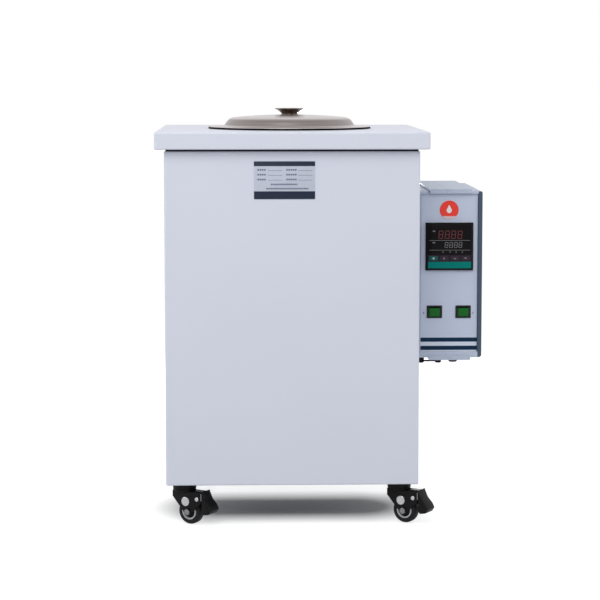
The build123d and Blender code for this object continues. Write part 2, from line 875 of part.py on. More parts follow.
def make_lid():
    """Pressed lid with a flat rim, a raised step and a slightly domed top."""
    rim = cover_top + fit_gap + lid_seal_height
    top = rim + lid_sheet + lid_step_height
    crown = top + lid_dome
    hem = rim + lid_sheet - lid_hem
    edge = lid_radius - lid_sheet
    half_way = lid_step_top / 2
    half_height = (top + crown) / 2 + lid_dome / 4
    lid = turned(((0, rim), (edge, rim), (edge, hem), (lid_radius, hem), (lid_radius, rim + lid_sheet),
                  (lid_step_foot, rim + lid_sheet), (lid_step_top, top), (half_way, half_height),
                  (knob_ring_radius, crown), (0, crown)))
    foot = lid_step_foot - lid_sheet
    shoulder = lid_step_top - lid_sheet
    lid -= turned(((0, rim - overrun), (foot, rim - overrun), (foot, rim), (shoulder, top - lid_sheet),
                   (half_way, half_height - lid_sheet),
                   (knob_ring_radius, crown - lid_sheet), (0, crown - lid_sheet)))
    return lid - rod(knob_screw_radius + fit_gap, (0, 0, top - overrun), (0, 0, crown + overrun))


def lid_crown():
    """Height of the lid's top at the knob."""
    return cover_top + fit_gap + lid_seal_height + lid_sheet + lid_step_height + lid_dome


def make_lid_knob():
    """Funnel-shaped knob on a flat ring, dished on top."""
    foot = lid_crown()
    ring = foot + knob_ring_height
    top = foot + knob_height
    waist = (knob_foot_radius + knob_rim_radius) / 2
    middle = (ring + top) / 2
    knob = turned(((0, foot), (knob_ring_radius, foot), (knob_ring_radius, ring), (knob_foot_radius, ring),
                   (waist - knob_rim_thickness, middle), (knob_rim_radius, top - knob_rim_thickness),
                   (knob_rim_radius, top), (knob_rim_radius - knob_rim_thickness, top),
                   (knob_foot_radius, top - knob_dish), (0, top - knob_dish)))
    return knob - rod(knob_screw_radius + fit_gap, (0, 0, foot - overrun), (0, 0, foot + knob_screw_depth))


def make_lid_knob_screw():
    """Screw up through the lid into the knob."""
    under = lid_crown() - lid_sheet
    head = rod(knob_screw_head_radius, (0, 0, under - knob_screw_head), (0, 0, under))
    return head + rod(knob_screw_radius, (0, 0, under), (0, 0, lid_crown() + knob_screw_depth - fit_gap))


# Control box

def panel_ends(lap=0):
    """Ends of the control panel's opening across and up, larger by a lap."""
    across = (box_left + panel_margin - lap, box_right - panel_margin + lap)
    up = (box_bottom + panel_bottom_margin - lap, box_top - panel_top_margin + lap)
    return across, up


def make_box_shells():
    """Both half shells of the control box, parted at the seam."""
    levels = (box_bottom, box_top)
    case = block((box_left, box_right), (box_front, box_rear), levels)
    case = chamfer(case.edges().filter_by(Axis.Z).group_by(Axis.Y)[0], box_bevel)
    lengthwise = case.edges().filter_by(Axis.Y)
    case = fillet(lengthwise, box_corner)
    rib_levels = (box_bottom - rib_rise, box_top + rib_rise)
    rib = block((rib_left, rib_right), (box_front, box_rear), rib_levels)
    case += fillet(rib.edges().filter_by(Axis.Y), rib_fillet)
    lip_ends = (box_front - rib_lip, box_front)
    case += block((rib_left, rib_right), lip_ends, (rib_levels[1] - rib_lip_height, rib_levels[1]))
    case += block((rib_left, rib_right), lip_ends, (rib_levels[0], rib_levels[0] + rib_lip_height))
    inner = (box_left + box_wall, box_right - box_wall)
    case -= block(inner, (panel_face, box_rear - box_wall), (box_bottom + box_wall, box_top - box_wall))
    across, up = panel_ends()
    case -= block(across, (box_front - overrun, panel_face + overrun), up)
    case -= block((rib_left - slot_width, rib_left), (box_front - overrun, box_rear + overrun),
                  (box_top - slot_depth, box_top + overrun))
    case -= rod(wire_hole, (box_left - overrun, bracket_y, bracket_z),
                (box_left + box_wall + overrun, bracket_y, bracket_z))
    for x in (*twin_gland_places, single_gland_place):
        case -= rod(gland_thread + fit_gap, (x, gland_y, box_bottom - rib_rise - overrun),
                    (x, gland_y, box_bottom + box_wall + overrun))
    span = (box_bottom - rib_rise - overrun, box_top + rib_rise + overrun)
    deep = (box_front - rib_lip - overrun, box_rear + overrun)
    left = case - block((box_seam, box_right + overrun), deep, span)
    right = case - block((box_left - overrun, box_seam), deep, span)
    return left, right


def make_box_bracket():
    """Plate between the cabinet's side and the control box, with the hole for the wires."""
    half_y = bracket_depth / 2
    half_z = bracket_height / 2
    plate = block((body_right, box_left), (bracket_y - half_y, bracket_y + half_y),
                  (bracket_z - half_z, bracket_z + half_z))
    return plate - rod(wire_hole, (body_right - overrun, bracket_y, bracket_z),
                       (box_left + overrun, bracket_y, bracket_z))


def make_control_panel():
    """Front panel with the cut-outs of the controller and of both switches."""
    across, up = panel_ends(panel_lap)
    depth = (panel_face, panel_face + panel_thickness)
    through = (depth[0] - overrun, depth[1] + overrun)
    panel = block(across, depth, up)
    half = case_size / 2 + fit_gap
    middle = controller_top - controller_size / 2
    panel -= block((controller_x - half, controller_x + half), through, (middle - half, middle + half))
    half_x = switch_width / 2 - switch_body_margin + fit_gap
    half_z = switch_height / 2 - switch_body_margin + fit_gap
    for x in rocker_places:
        panel -= block((x - half_x, x + half_x), through, (rocker_z - half_z, rocker_z + half_z))
    return panel


def key_places():
    """Middle of each key across the panel, in the order of the key names."""
    first = controller_x - key_pitch * (len(key_names) - 1) / 2
    return [first + key_pitch * number for number in range(len(key_names))]


def key_z():
    """Height of the middle of the keys."""
    return controller_top - key_row_drop


def make_controller_case():
    """Controller with its bevelled bezel, and a body behind the panel."""
    half = controller_size / 2
    middle = controller_top - half
    face = panel_face - bezel_depth
    bezel = block((controller_x - half, controller_x + half), (face, panel_face),
                  (middle - half, middle + half))
    bezel = chamfer(bezel.faces().sort_by(Axis.Y)[0].edges(), bezel_bevel)
    inner = case_size / 2
    case = bezel + block((controller_x - inner, controller_x + inner),
                         (panel_face, panel_face + case_length), (middle - inner, middle + inner))
    hollow = inner - case_wall
    case -= block((controller_x - hollow, controller_x + hollow),
                  (face + case_wall + key_depth, panel_face + case_length - case_wall),
                  (middle - hollow, middle + hollow))
    high = controller_top - window_margin
    half_window = window_width / 2 + fit_gap
    case -= block((controller_x - half_window, controller_x + half_window),
                  (face - overrun, face + window_thickness), (high - window_height - fit_gap, high + fit_gap))
    half_key = key_width / 2 + seat_gap
    half_key_z = key_height / 2 + seat_gap
    for x in key_places():
        case -= block((x - half_key, x + half_key),
                      (face - overrun, face + case_wall + key_depth + overrun),
                      (key_z() - half_key_z, key_z() + half_key_z))
    return case


def make_controller_window():
    """Dark window in front of the displays."""
    face = panel_face - bezel_depth
    high = controller_top - window_margin
    half = window_width / 2
    return block((controller_x - half, controller_x + half), (face, face + window_thickness),
                 (high - window_height, high))


def make_key(x):
    """Key cap that stands proud of the bezel."""
    face = panel_face - bezel_depth
    key = block((x - key_width / 2, x + key_width / 2), (face - key_proud, face + key_depth),
                (key_z() - key_height / 2, key_z() + key_height / 2))
    return fillet(key.faces().sort_by(Axis.Y)[0].edges(), key_proud / 2)


def make_switch_housings():
    """Open housings of both rocker switches, with their rims and pivot pins."""
    housings = []
    half_x = switch_width / 2
    half_z = switch_height / 2
    inner_x = rocker_width / 2 + rocker_gap
    inner_z = rocker_height / 2 + rocker_end_gap
    pivot_y = panel_face - switch_rim + rocker_pivot_depth
    for x in rocker_places:
        rim = block((x - half_x, x + half_x), (panel_face - switch_rim, panel_face),
                    (rocker_z - half_z, rocker_z + half_z))
        rim = fillet(rim.faces().sort_by(Axis.Y)[0].edges(), switch_rim / 2)
        body_x = half_x - switch_body_margin
        body_z = half_z - switch_body_margin
        housing = rim + block((x - body_x, x + body_x), (panel_face, panel_face + switch_body_depth),
                              (rocker_z - body_z, rocker_z + body_z))
        housing -= block((x - inner_x, x + inner_x),
                         (panel_face - switch_rim - overrun, panel_face + switch_body_depth - switch_wall),
                         (rocker_z - inner_z, rocker_z + inner_z))
        housing += rod(running_gap + switch_wall / 2, (x - inner_x, pivot_y, rocker_z),
                       (x + inner_x, pivot_y, rocker_z))
        housings.append(housing)
    return Compound(children=housings)


def make_rocker(x):
    """Rocker cap with a shallow V front, pressed in at the bottom."""
    half = rocker_height / 2
    front = panel_face - switch_rim - rocker_proud
    pivot_y = panel_face - switch_rim + rocker_pivot_depth
    rear = pivot_y + rocker_pivot_depth / 2
    end_y = front + rocker_proud / 2
    side = ((end_y, -half), (front + rocker_proud / 3, 0), (end_y, half), (rear, half / 2), (rear, -half / 2))
    outline = Polyline([(x - rocker_width / 2, y, rocker_z + z) for y, z in side], close=True)
    cap = extrude(make_face(outline), amount=rocker_width, dir=(1, 0, 0))
    tilt = Pos(0, pivot_y, rocker_z) * Rot(rocker_angle, 0, 0) * Pos(0, -pivot_y, -rocker_z)
    hole = rod(running_gap + switch_wall / 2 + running_gap, (x - rocker_width, pivot_y, rocker_z),
               (x + rocker_width, pivot_y, rocker_z))
    return tilt * cap - hole


def make_relay():
    """Solid-state relay with a finned heat sink on the inside of the left shell."""
    left = box_left + box_wall
    face = left + relay_width
    levels = (relay_z, relay_z + relay_height)
    relay = block((left, face), (relay_y, relay_y + relay_depth), levels)
    pitch = (relay_depth - relay_fin) / (relay_fin_count - 1)
    for fin in range(relay_fin_count):
        y = relay_y + pitch * fin
        relay += block((face, face + relay_fin_length), (y, y + relay_fin), levels)
    return relay


def gland_seat(x):
    """Height of the box's underside at a gland."""
    under_rib = rib_left < x < rib_right
    return box_bottom - rib_rise if under_rib else box_bottom


def gland_list():
    """Place, radius and drop of each gland."""
    twins = [(x, cable_gland_radius, cable_gland_drop - (box_bottom - gland_seat(x)))
             for x in twin_gland_places]
    return twins + [(single_gland_place, wide_gland_radius, wide_gland_drop - rib_rise)]


def make_cable_glands():
    """Blank rubber glands under the box: a pair joined by a strap, and a wide one."""
    pieces = []
    for x, radius, drop in gland_list():
        seat = gland_seat(x)
        gland = rod(radius, (x, gland_y, seat - drop), (x, gland_y, seat))
        gland = fillet(gland.edges().group_by(Axis.Z)[0], radius / 4)
        pieces.append(gland + rod(gland_thread, (x, gland_y, seat), (x, gland_y, box_bottom + box_wall)))
    bridge_low = box_bottom - cable_gland_drop + gland_bridge_lift
    bridge = block(twin_gland_places, (gland_y - gland_bridge_depth / 2, gland_y + gland_bridge_depth / 2),
                   (bridge_low, bridge_low + gland_bridge))
    return Compound(children=[pieces[0] + pieces[1] + bridge, pieces[2]])


def make_nameplate():
    """Thin plate on the front of the cabinet."""
    high = cover_bottom - plate_drop
    return block((plate_x - plate_width / 2, plate_x + plate_width / 2),
                 (body_front - plate_thickness, body_front), (high - plate_height, high))


# Castors, drawn with the swivel axis on Z and the wheel trailing towards +X

def make_castor_stem():
    """Upper race with its threaded stem and the kingpin, all fixed to the tray."""
    race_low = floor_gap - race_height
    head_low = fork_crown_top - fork_crown_thickness - seat_gap - kingpin_head_height
    race = rod(race_radius, (0, 0, race_low), (0, 0, floor_gap))
    race = fillet(race.edges().group_by(Axis.Z)[0], race_edge)
    stem = rod(stem_thread_radius, (0, 0, head_low), (0, 0, floor_gap + stem_thread_length))
    head = rod(kingpin_head_radius, (0, 0, head_low), (0, 0, head_low + kingpin_head_height))
    return race + stem + head


def make_castor_nuts():
    """Washer and nut on one stem, inside the tray."""
    start = tray_top
    washer = rod(washer_radius, (0, 0, start), (0, 0, start + washer_thickness))
    nut_low = start + washer_thickness
    nut = hexagon(nut_radius, (0, 0, nut_low), (0, 0, nut_low + nut_height))
    hole = rod(stem_thread_radius + fit_gap, (0, 0, start - overrun), (0, 0, nut_low + nut_height + overrun))
    return [washer - hole, nut - hole]


def make_castor_fork():
    """Pressed fork: a crown with the lower race and two legs that taper to the axle."""
    outer = fork_inner + fork_plate + fork_plate
    race_top = floor_gap - race_height - seat_gap
    crown_low = fork_crown_top - fork_crown_thickness
    legs = side_hull((trail, wheel_radius), fork_end_radius,
                     ((fork_front, fork_crown_top), (fork_front, fork_crown_top - fork_front_drop),
                      (fork_rear, fork_crown_top - fork_rear_drop), (fork_rear_top, fork_crown_top)), outer)
    reach = fork_rear + overrun
    gap = block((fork_front - overrun, reach), (-fork_inner / 2, fork_inner / 2), (0, crown_low))
    fork = legs - gap
    fork += rod(lower_race_radius, (0, 0, fork_crown_top), (0, 0, race_top))
    fork -= rod(stem_thread_radius + running_gap, (0, 0, crown_low - overrun), (0, 0, race_top + overrun))
    fork -= rod(axle_radius + fit_gap, (trail, -outer, wheel_radius), (trail, outer, wheel_radius))
    return fork - rod(pivot_radius + fit_gap, (pivot_x, -outer, pivot_z), (pivot_x, outer, pivot_z))


def make_castor_fasteners():
    """Axle bolt and nut, brake pin, and the round cap on each leg."""
    side = fork_inner / 2 + fork_plate
    end = side + axle_nut_height
    axle = rod(axle_radius, (trail, -side, wheel_radius), (trail, end, wheel_radius))
    axle += hexagon(axle_nut_radius, (trail, -end, wheel_radius), (trail, -side, wheel_radius))
    nut = hexagon(axle_nut_radius, (trail, side, wheel_radius), (trail, end, wheel_radius))
    nut -= rod(axle_radius + fit_gap, (trail, side - overrun, wheel_radius),
               (trail, end + overrun, wheel_radius))
    pin_end = side + pivot_head_height
    pin = rod(pivot_radius, (pivot_x, -side, pivot_z), (pivot_x, side, pivot_z))
    pieces = [axle, nut]
    for sign in (-1, 1):
        pin += rod(pivot_head_radius, (pivot_x, sign * side, pivot_z), (pivot_x, sign * pin_end, pivot_z))
        cap_end = sign * (side + cap_height)
        pieces.append(rod(cap_radius, (cap_x, sign * side, cap_z), (cap_x, cap_end, cap_z)))
    return pieces + [pin]


def make_castor_wheel():
    """Tyre and core, turned about the axle."""
    half = wheel_width / 2
    tyre = rod(wheel_radius, (0, 0, -half), (0, 0, half))
    tyre = fillet(tyre.edges(), tread_round)
    tyre -= rod(core_rim_radius, (0, 0, -half - overrun), (0, 0, half + overrun))
    web = core_web / 2
    hub = fork_inner / 2 - seat_gap
    core = rod(core_rim_radius, (0, 0, -web), (0, 0, web)) + rod(core_hub_radius, (0, 0, -hub), (0, 0, hub))
    ring = rod(wheel_ring_outer, (0, 0, -web - wheel_ring_rise), (0, 0, web + wheel_ring_rise))
    ring -= rod(wheel_ring_outer - wheel_ring_width, (0, 0, -web - overrun), (0, 0, web + overrun))
    core += ring
    core -= rod(axle_radius + running_gap, (0, 0, -hub - overrun), (0, 0, hub + overrun))
    place = Pos(trail, 0, wheel_radius) * Rot(90, 0, 0)
    return [place * tyre, place * core]


def make_castor_pedal():
    """Brake pedal: a neck on the pin between the legs and a wide foot behind the wheel."""
    low = wheel_radius - pedal_drop
    outline = [(pedal_start + pedal_depth * across, low + pedal_height * up) for across, up in pedal_shares]
    foot = side_plate(outline, pedal_width)
    foot = fillet(foot.edges().filter_by(Axis.Y), pedal_round)
    neck_ends = ((pedal_neck_reach, pivot_z + pedal_neck_rise), (pedal_neck_reach, pivot_z - pedal_neck_drop))
    neck = side_hull((pivot_x, pivot_z), pedal_boss_radius, neck_ends, pedal_neck_width)
    pedal = foot + neck
    return pedal - rod(pivot_radius + running_gap, (pivot_x, -pedal_width, pivot_z),
                       (pivot_x, pedal_width, pivot_z))


# All nodes of the part

def castor_seats():
    """Placement of each castor: its swivel axis and the way that the wheel trails."""
    return [Pos(x, y, 0) * Rot(0, 0, castor_heading) for x, y in castor_places()]


def castor_nodes():
    """Nodes of the four castors, with the fixed pieces of all four grouped."""
    seats = castor_seats()
    stems = [seat * make_castor_stem() for seat in seats]
    nuts = [seat * piece for seat in seats for piece in make_castor_nuts()]
    nodes = {"castor_stems": Compound(children=stems), "castor_nuts": Compound(children=nuts)}
    for name, seat in zip(castor_names, seats):
        nodes[f"castor_{name}_fork"] = seat * make_castor_fork()
        fasteners = [seat * piece for piece in make_castor_fasteners()]
        nodes[f"castor_{name}_fasteners"] = Compound(children=fasteners)
        wheel = [seat * piece for piece in make_castor_wheel()]
        nodes[f"castor_{name}_wheel"] = Compound(children=wheel)
        nodes[f"castor_{name}_pedal"] = seat * make_castor_pedal()
    return nodes


def control_nodes():
    """Nodes of the control box."""
    left, right = make_box_shells()
    nodes = {"box_left_shell": left, "box_right_shell": right, "box_bracket": make_box_bracket(),
             "control_panel": make_control_panel(), "controller_case": make_controller_case(),
             "controller_window": make_controller_window(), "switch_housings": make_switch_housings(),
             "relay": make_relay(), "cable_glands": make_cable_glands()}
    for name, x in zip(key_names, key_places()):
        nodes[f"key_{name}"] = make_key(x)
    for name, x in zip(rocker_names, rocker_places):
        nodes[f"{name}_rocker"] = make_rocker(x)
    return nodes


def cabinet_nodes():
    """Nodes of the cabinet, the tank, the pump with its pipes, and the lid."""
    return {"base_frame": make_base_frame(), "cabinet_shell": make_cabinet_shell(),
            "rear_panel": make_rear_panel(), "panel_screws": make_panel_screws(),
            "cover_seal": make_cover_seal(), "top_cover": make_top_cover(), "nameplate": make_nameplate(),
            "tank": make_tank(), "tank_stand": make_tank_stand(), "insulation_wrap": make_insulation_wrap(),
            "heater": make_heater(), "temperature_probe": make_temperature_probe(),
            "pump_housing": make_pump_housing(), "pump_motor": make_pump_motor(),
            "pump_rotor": make_pump_rotor(), "pump_bracket": make_pump_bracket(),
            "outlet_manifold": make_outlet_manifold(), "delivery_pipe": make_delivery_pipe(),
            "return_pipe": make_return_pipe(), "hose_nozzles": make_hose_nozzles(),
            "drain_valve_body": make_drain_valve_body(), "drain_valve_ball": make_drain_valve_ball(),
            "drain_valve_lever": make_drain_valve_lever(), "lid": make_lid(), "lid_seal": make_lid_seal(),
            "lid_knob": make_lid_knob(), "lid_knob_screw": make_lid_knob_screw()}


os.makedirs("parts", exist_ok=True)
for node_name, shape in {**cabinet_nodes(), **control_nodes(), **castor_nodes()}.items():
    export_step(shape, f"parts/{node_name}.step")
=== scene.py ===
import math

import bmesh
import bpy
from mathutils import Matrix, Vector


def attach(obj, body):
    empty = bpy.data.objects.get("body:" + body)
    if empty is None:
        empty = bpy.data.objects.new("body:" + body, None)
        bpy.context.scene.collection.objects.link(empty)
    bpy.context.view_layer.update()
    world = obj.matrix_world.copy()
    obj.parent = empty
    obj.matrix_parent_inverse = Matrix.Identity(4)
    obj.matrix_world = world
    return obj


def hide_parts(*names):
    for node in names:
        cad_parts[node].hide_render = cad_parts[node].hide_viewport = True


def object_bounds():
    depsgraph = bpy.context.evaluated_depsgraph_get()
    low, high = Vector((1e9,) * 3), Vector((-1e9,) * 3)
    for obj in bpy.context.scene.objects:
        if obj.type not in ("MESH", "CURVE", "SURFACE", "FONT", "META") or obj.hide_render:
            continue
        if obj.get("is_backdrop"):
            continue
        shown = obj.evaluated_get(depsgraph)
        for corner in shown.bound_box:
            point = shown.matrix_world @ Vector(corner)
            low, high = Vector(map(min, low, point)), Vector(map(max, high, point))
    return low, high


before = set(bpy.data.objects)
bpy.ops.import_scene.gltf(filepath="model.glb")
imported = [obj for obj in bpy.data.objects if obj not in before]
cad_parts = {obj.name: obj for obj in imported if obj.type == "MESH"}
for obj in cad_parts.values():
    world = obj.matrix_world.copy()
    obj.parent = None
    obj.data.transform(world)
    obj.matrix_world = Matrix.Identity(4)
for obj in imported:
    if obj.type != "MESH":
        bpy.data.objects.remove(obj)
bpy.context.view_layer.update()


# Cabinet: front and both sides folded from one sheet of steel, with flanges turned in round
# the top, the bottom and the rear. It is powder coated a pale lilac grey, with a faint
# orange-peel texture.
def opened(name):
    """Names the newest primitive, puts its place into its mesh and opens it for shaping."""
    piece = bpy.context.active_object
    piece.name = name
    piece.data.name = name
    bpy.ops.object.transform_apply(location=True, rotation=True, scale=True)
    bpy.ops.object.mode_set(mode="EDIT")
    return piece


def block_between(name, low, high):
    """A block between two corners, open in edit mode."""
    bpy.ops.object.select_all(action="DESELECT")
    middle = [(a + b) / 2 for a, b in zip(low, high)]
    size = [b - a for a, b in zip(low, high)]
    bpy.ops.mesh.primitive_cube_add(size=1, location=middle, scale=size)
    return opened(name)


def choose(kind, test):
    """Selects only the faces, edges or points whose middle and direction pass a test."""
    bpy.ops.mesh.select_mode(type=kind)
    bpy.ops.mesh.select_all(action="DESELECT")
    mesh = bpy.context.active_object.data
    shape = bmesh.from_edit_mesh(mesh)
    if kind == "FACE":
        for face in shape.faces:
            face.select_set(bool(test(face.calc_center_median(), face.normal)))
    if kind == "EDGE":
        for edge in shape.edges:
            start, end = (point.co for point in edge.verts)
            edge.select_set(bool(test((start + end) / 2, (end - start).normalized())))
    if kind == "VERT":
        for point in shape.verts:
            point.select_set(bool(test(point.co, point.normal)))
    shape.select_flush_mode()
    bmesh.update_edit_mesh(mesh)


def eased(test, width, segments):
    """Rounds the edges that pass a test, or chamfers them where there is one segment."""
    choose("EDGE", test)
    bpy.ops.mesh.bevel(offset=width, segments=segments, affect="EDGES")


def near(value, place, reach=0.00005):
    """Whether a value lies at a place."""
    return abs(value - place) < reach


def rimmed(test, width):
    """Leaves only a rim of this width of one flat face."""
    choose("FACE", test)
    shape = bmesh.from_edit_mesh(bpy.context.active_object.data)
    points = [point.co.copy() for face in shape.faces if face.select for point in face.verts]
    low = [min(point[axis] for point in points) for axis in range(3)]
    high = [max(point[axis] for point in points) for axis in range(3)]
    scale = [1 - 2 * width / (b - a) if b - a > width else 1 for a, b in zip(low, high)]
    bpy.ops.mesh.extrude_region_move(TRANSFORM_OT_translate={"value": (0, 0, 0)})
    bpy.ops.transform.resize(value=scale, center_override=[(a + b) / 2 for a, b in zip(low, high)])
    bpy.ops.mesh.delete(type="FACE")


def closed_up(piece, finish, crease=35):
    """Ends the shaping of a piece: its finish, and smooth shading below an angle in degrees."""
    bpy.ops.object.mode_set(mode="OBJECT")
    piece.data.materials.clear()
    piece.data.materials.append(finish)
    bpy.ops.object.shade_smooth_by_angle(angle=math.radians(crease))


def treated(piece, kind, **settings):
    """Adds a modifier with these settings and applies it."""
    modifier = piece.modifiers.new(kind, kind)
    for setting, value in settings.items():
        setattr(modifier, setting, value)
    bpy.context.view_layer.objects.active = piece
    bpy.ops.object.modifier_apply(modifier=kind)


def finish_named(name, colour, roughness, metallic=0.0, shine=0.5):
    """A material with a plain shader, with its node tree and that shader."""
    finish = bpy.data.materials.new(name)
    finish.use_nodes = True
    shader = finish.node_tree.nodes["Principled BSDF"]
    shader.inputs["Base Color"].default_value = (*colour, 1)
    shader.inputs["Roughness"].default_value = roughness
    shader.inputs["Metallic"].default_value = metallic
    shader.inputs["Specular IOR Level"].default_value = shine
    return finish, finish.node_tree, shader


def fed(tree, socket, value):
    """Gives an input a number, a colour or another node's output."""
    if isinstance(value, (int, float)):
        socket.default_value = value
    elif isinstance(value, tuple):
        socket.default_value = (*value, 1)
    else:
        tree.links.new(value, socket)


def node_result(tree, kind, result, inputs=None, **settings):
    """Adds a node with these settings and inputs, and gives one of its outputs."""
    node = tree.nodes.new(f"ShaderNode{kind}")
    for setting, value in settings.items():
        setattr(node, setting, value)
    for socket, value in (inputs or {}).items():
        fed(tree, node.inputs[socket], value)
    return node.outputs[result]


def noise(tree, scale, detail=2, distortion=0.0):
    """A cloudy pattern in object coordinates, finer as its scale grows."""
    return node_result(tree, "TexNoise", "Fac", {
        "Vector": node_result(tree, "TexCoord", "Object"), "Scale": scale, "Detail": detail,
        "Distortion": distortion})


def ranged(tree, value, start, end, low=0.0, high=1.0, kind="LINEAR"):
    """Carries a value from one range to another, and no further than its ends."""
    return node_result(tree, "MapRange", "Result", {
        "Value": value, "From Min": start, "From Max": end, "To Min": low, "To Max": high},
        interpolation_type=kind)


def painted(tree, mask, under, over):
    """Puts one colour over another as far as a mask goes from zero to one."""
    return node_result(tree, "Mix", "Result", {"Factor": mask, "A": under, "B": over},
                       data_type="RGBA")


def bumped(tree, shader, height, strength, depth):
    """Gives a surface the small relief of a pattern."""
    fed(tree, shader.inputs["Normal"], node_result(tree, "Bump", "Normal", {
        "Strength": strength, "Distance": depth, "Height": height}))


def pattern_group(name, *scales):
    """A node group for two near colours and a range of gloss, with no pattern yet."""
    group = bpy.data.node_groups.new(name, "ShaderNodeTree")
    for side, colours, numbers in (
            ("INPUT", ("Colour", "Shade"), (*scales, "Smoothest", "Roughest")),
            ("OUTPUT", ("Colour",), ("Roughness", "Height"))):
        for socket in colours:
            group.interface.new_socket(socket, in_out=side, socket_type="NodeSocketColor")
        for socket in numbers:
            group.interface.new_socket(socket, in_out=side, socket_type="NodeSocketFloat")
    return group, group.nodes.new("NodeGroupInput").outputs


def pattern_shown(group, given, tint, grain):
    """Ends a pattern group: one pattern mixes its colours, one gives its gloss and height."""
    made = group.nodes.new("NodeGroupOutput").inputs
    fed(group, made["Colour"], painted(group, tint, given["Colour"], given["Shade"]))
    valley, peak = 0.3, 0.7
    fed(group, made["Roughness"],
        ranged(group, grain, valley, peak, given["Smoothest"], given["Roughest"]))
    fed(group, made["Height"], grain)


def patterned(name, group, scales, colour, shade, gloss, relief, depth, metallic, shine=0.5):
    """A material that shows a pattern group in its own colours, gloss and relief."""
    finish, tree, shader = finish_named(name, colour, gloss[0], metallic, shine)
    pattern = tree.nodes.new("ShaderNodeGroup")
    pattern.node_tree = group
    own = {"Colour": colour, "Shade": shade, "Smoothest": gloss[0], "Roughest": gloss[1]}
    for socket, value in {**own, **scales}.items():
        fed(tree, pattern.inputs[socket], value)
    fed(tree, shader.inputs["Base Color"], pattern.outputs["Colour"])
    fed(tree, shader.inputs["Roughness"], pattern.outputs["Roughness"])
    bumped(tree, shader, pattern.outputs["Height"], relief, depth)
    return finish


coat_texture, given = pattern_group("coat_texture", "Clouds", "Grain")
clouds = noise(coat_texture, given["Clouds"], detail=3)
pattern_shown(coat_texture, given, clouds, noise(coat_texture, given["Grain"]))


def coat(name, colour, shade, clouds, grain, gloss, depth, metallic=0.0, shine=0.5):
    """A painted, moulded or cast surface: two near colours, a grain and its gloss."""
    relief = 0.6
    return patterned(name, coat_texture, {"Clouds": clouds, "Grain": grain}, colour, shade,
                     gloss, relief, depth, metallic, shine)


powder_coat = coat("powder_coat", (0.66, 0.69, 0.79), (0.63, 0.66, 0.76), 5, 620,
                   (0.34, 0.44), 0.00006)

shell_half, shell_rear, shell_foot, shell_top = 0.245, 0.2438, 0.080, 0.727
rear_flange, top_flange, foot_flange, sheet_gauge = 0.014, 0.018, 0.012, 0.0012
sheet = block_between("cabinet_sheet", (-shell_half, -shell_half, shell_foot),
                      (shell_half, shell_rear, shell_top))
eased(lambda p, d: p.y < -0.24 and abs(d.z) > 0.9, 0.004, 6)
eased(lambda p, d: abs(d.z) < 0.5 and p.y < 0.24 or near(p.y, shell_rear), 0.0022, 4)
rimmed(lambda p, n: n.y > 0.99, rear_flange)
rimmed(lambda p, n: n.z > 0.99 and abs(p.x) < 0.05, top_flange)
rimmed(lambda p, n: n.z < -0.99 and abs(p.x) < 0.05, foot_flange)
closed_up(sheet, powder_coat)
treated(sheet, "SOLIDIFY", thickness=sheet_gauge, offset=-1, use_even_offset=True)
treated(sheet, "WEIGHTED_NORMAL", keep_sharp=True)
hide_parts("cabinet_shell")
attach(sheet, "cabinet")

# Base tray: a shallow pan of thicker sheet inside the bottom of the cabinet. It carries the
# castors, the tank stand and the pump.
def removed(test):
    """Deletes the faces that pass a test."""
    choose("FACE", test)
    bpy.ops.mesh.delete(type="FACE")


tray_half, tray_foot = 0.2426, 0.0813
tray = block_between("base_tray", (-tray_half, -tray_half, tray_foot),
                     (tray_half, 0.2414, 0.110))
eased(lambda p, d: abs(d.z) > 0.9, 0.006, 4)
eased(lambda p, d: near(p.z, tray_foot) and abs(d.z) < 0.1, 0.002, 3)
removed(lambda p, n: n.z > 0.99)
closed_up(tray, powder_coat)
treated(tray, "SOLIDIFY", thickness=0.002, offset=-1, use_even_offset=True)
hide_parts("base_frame")
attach(tray, "cabinet")

# Rear panel: a flat sheet with two rows of vent slots, held by eight pan-head screws with a
# cross recess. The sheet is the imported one, powder coated.
def refinished(finish, slot_name, *names):
    """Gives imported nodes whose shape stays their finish."""
    for name in names:
        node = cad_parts[name]
        if not node.data.materials:
            node.data.materials.append(finish)
        for number in range(len(node.data.materials)):
            node.data.materials[number] = finish


def upright_cylinder(name, radius, low, high, vertices, ends="NGON"):
    """A cylinder on the vertical axis between two heights, open in edit mode."""
    bpy.ops.object.select_all(action="DESELECT")
    bpy.ops.mesh.primitive_cylinder_add(vertices=vertices, radius=radius, depth=high - low,
                                        location=(0, 0, (low + high) / 2), end_fill_type=ends)
    return opened(name)


def sliced(places, normal):
    """Cuts the whole shape along parallel planes at these places on one axis."""
    axis = [abs(part) > 0.5 for part in normal].index(True)
    for place in places:
        point = [0, 0, 0]
        point[axis] = place
        bpy.ops.mesh.select_all(action="SELECT")
        bpy.ops.mesh.bisect(plane_co=point, plane_no=normal)


def pushed(test, move):
    """Extrudes the faces that pass a test by a move."""
    choose("FACE", test)
    bpy.ops.mesh.extrude_region_move(TRANSFORM_OT_translate={"value": move})


def copied(piece, name, matrix):
    """A copy of a piece with its own mesh, put in place by a matrix."""
    twin = piece.copy()
    twin.data = piece.data.copy()
    twin.name = name
    twin.data.name = name
    twin.data.transform(matrix)
    bpy.context.scene.collection.objects.link(twin)
    return twin


def joined(name, pieces):
    """Several meshes made one piece."""
    bpy.ops.object.select_all(action="DESELECT")
    for piece in pieces:
        piece.select_set(True)
    bpy.context.view_layer.objects.active = pieces[0]
    bpy.ops.object.join()
    pieces[0].name = name
    pieces[0].data.name = name
    return pieces[0]


def dropped(piece):
    """Removes a pattern piece once its copies are made."""
    bpy.data.objects.remove(piece)


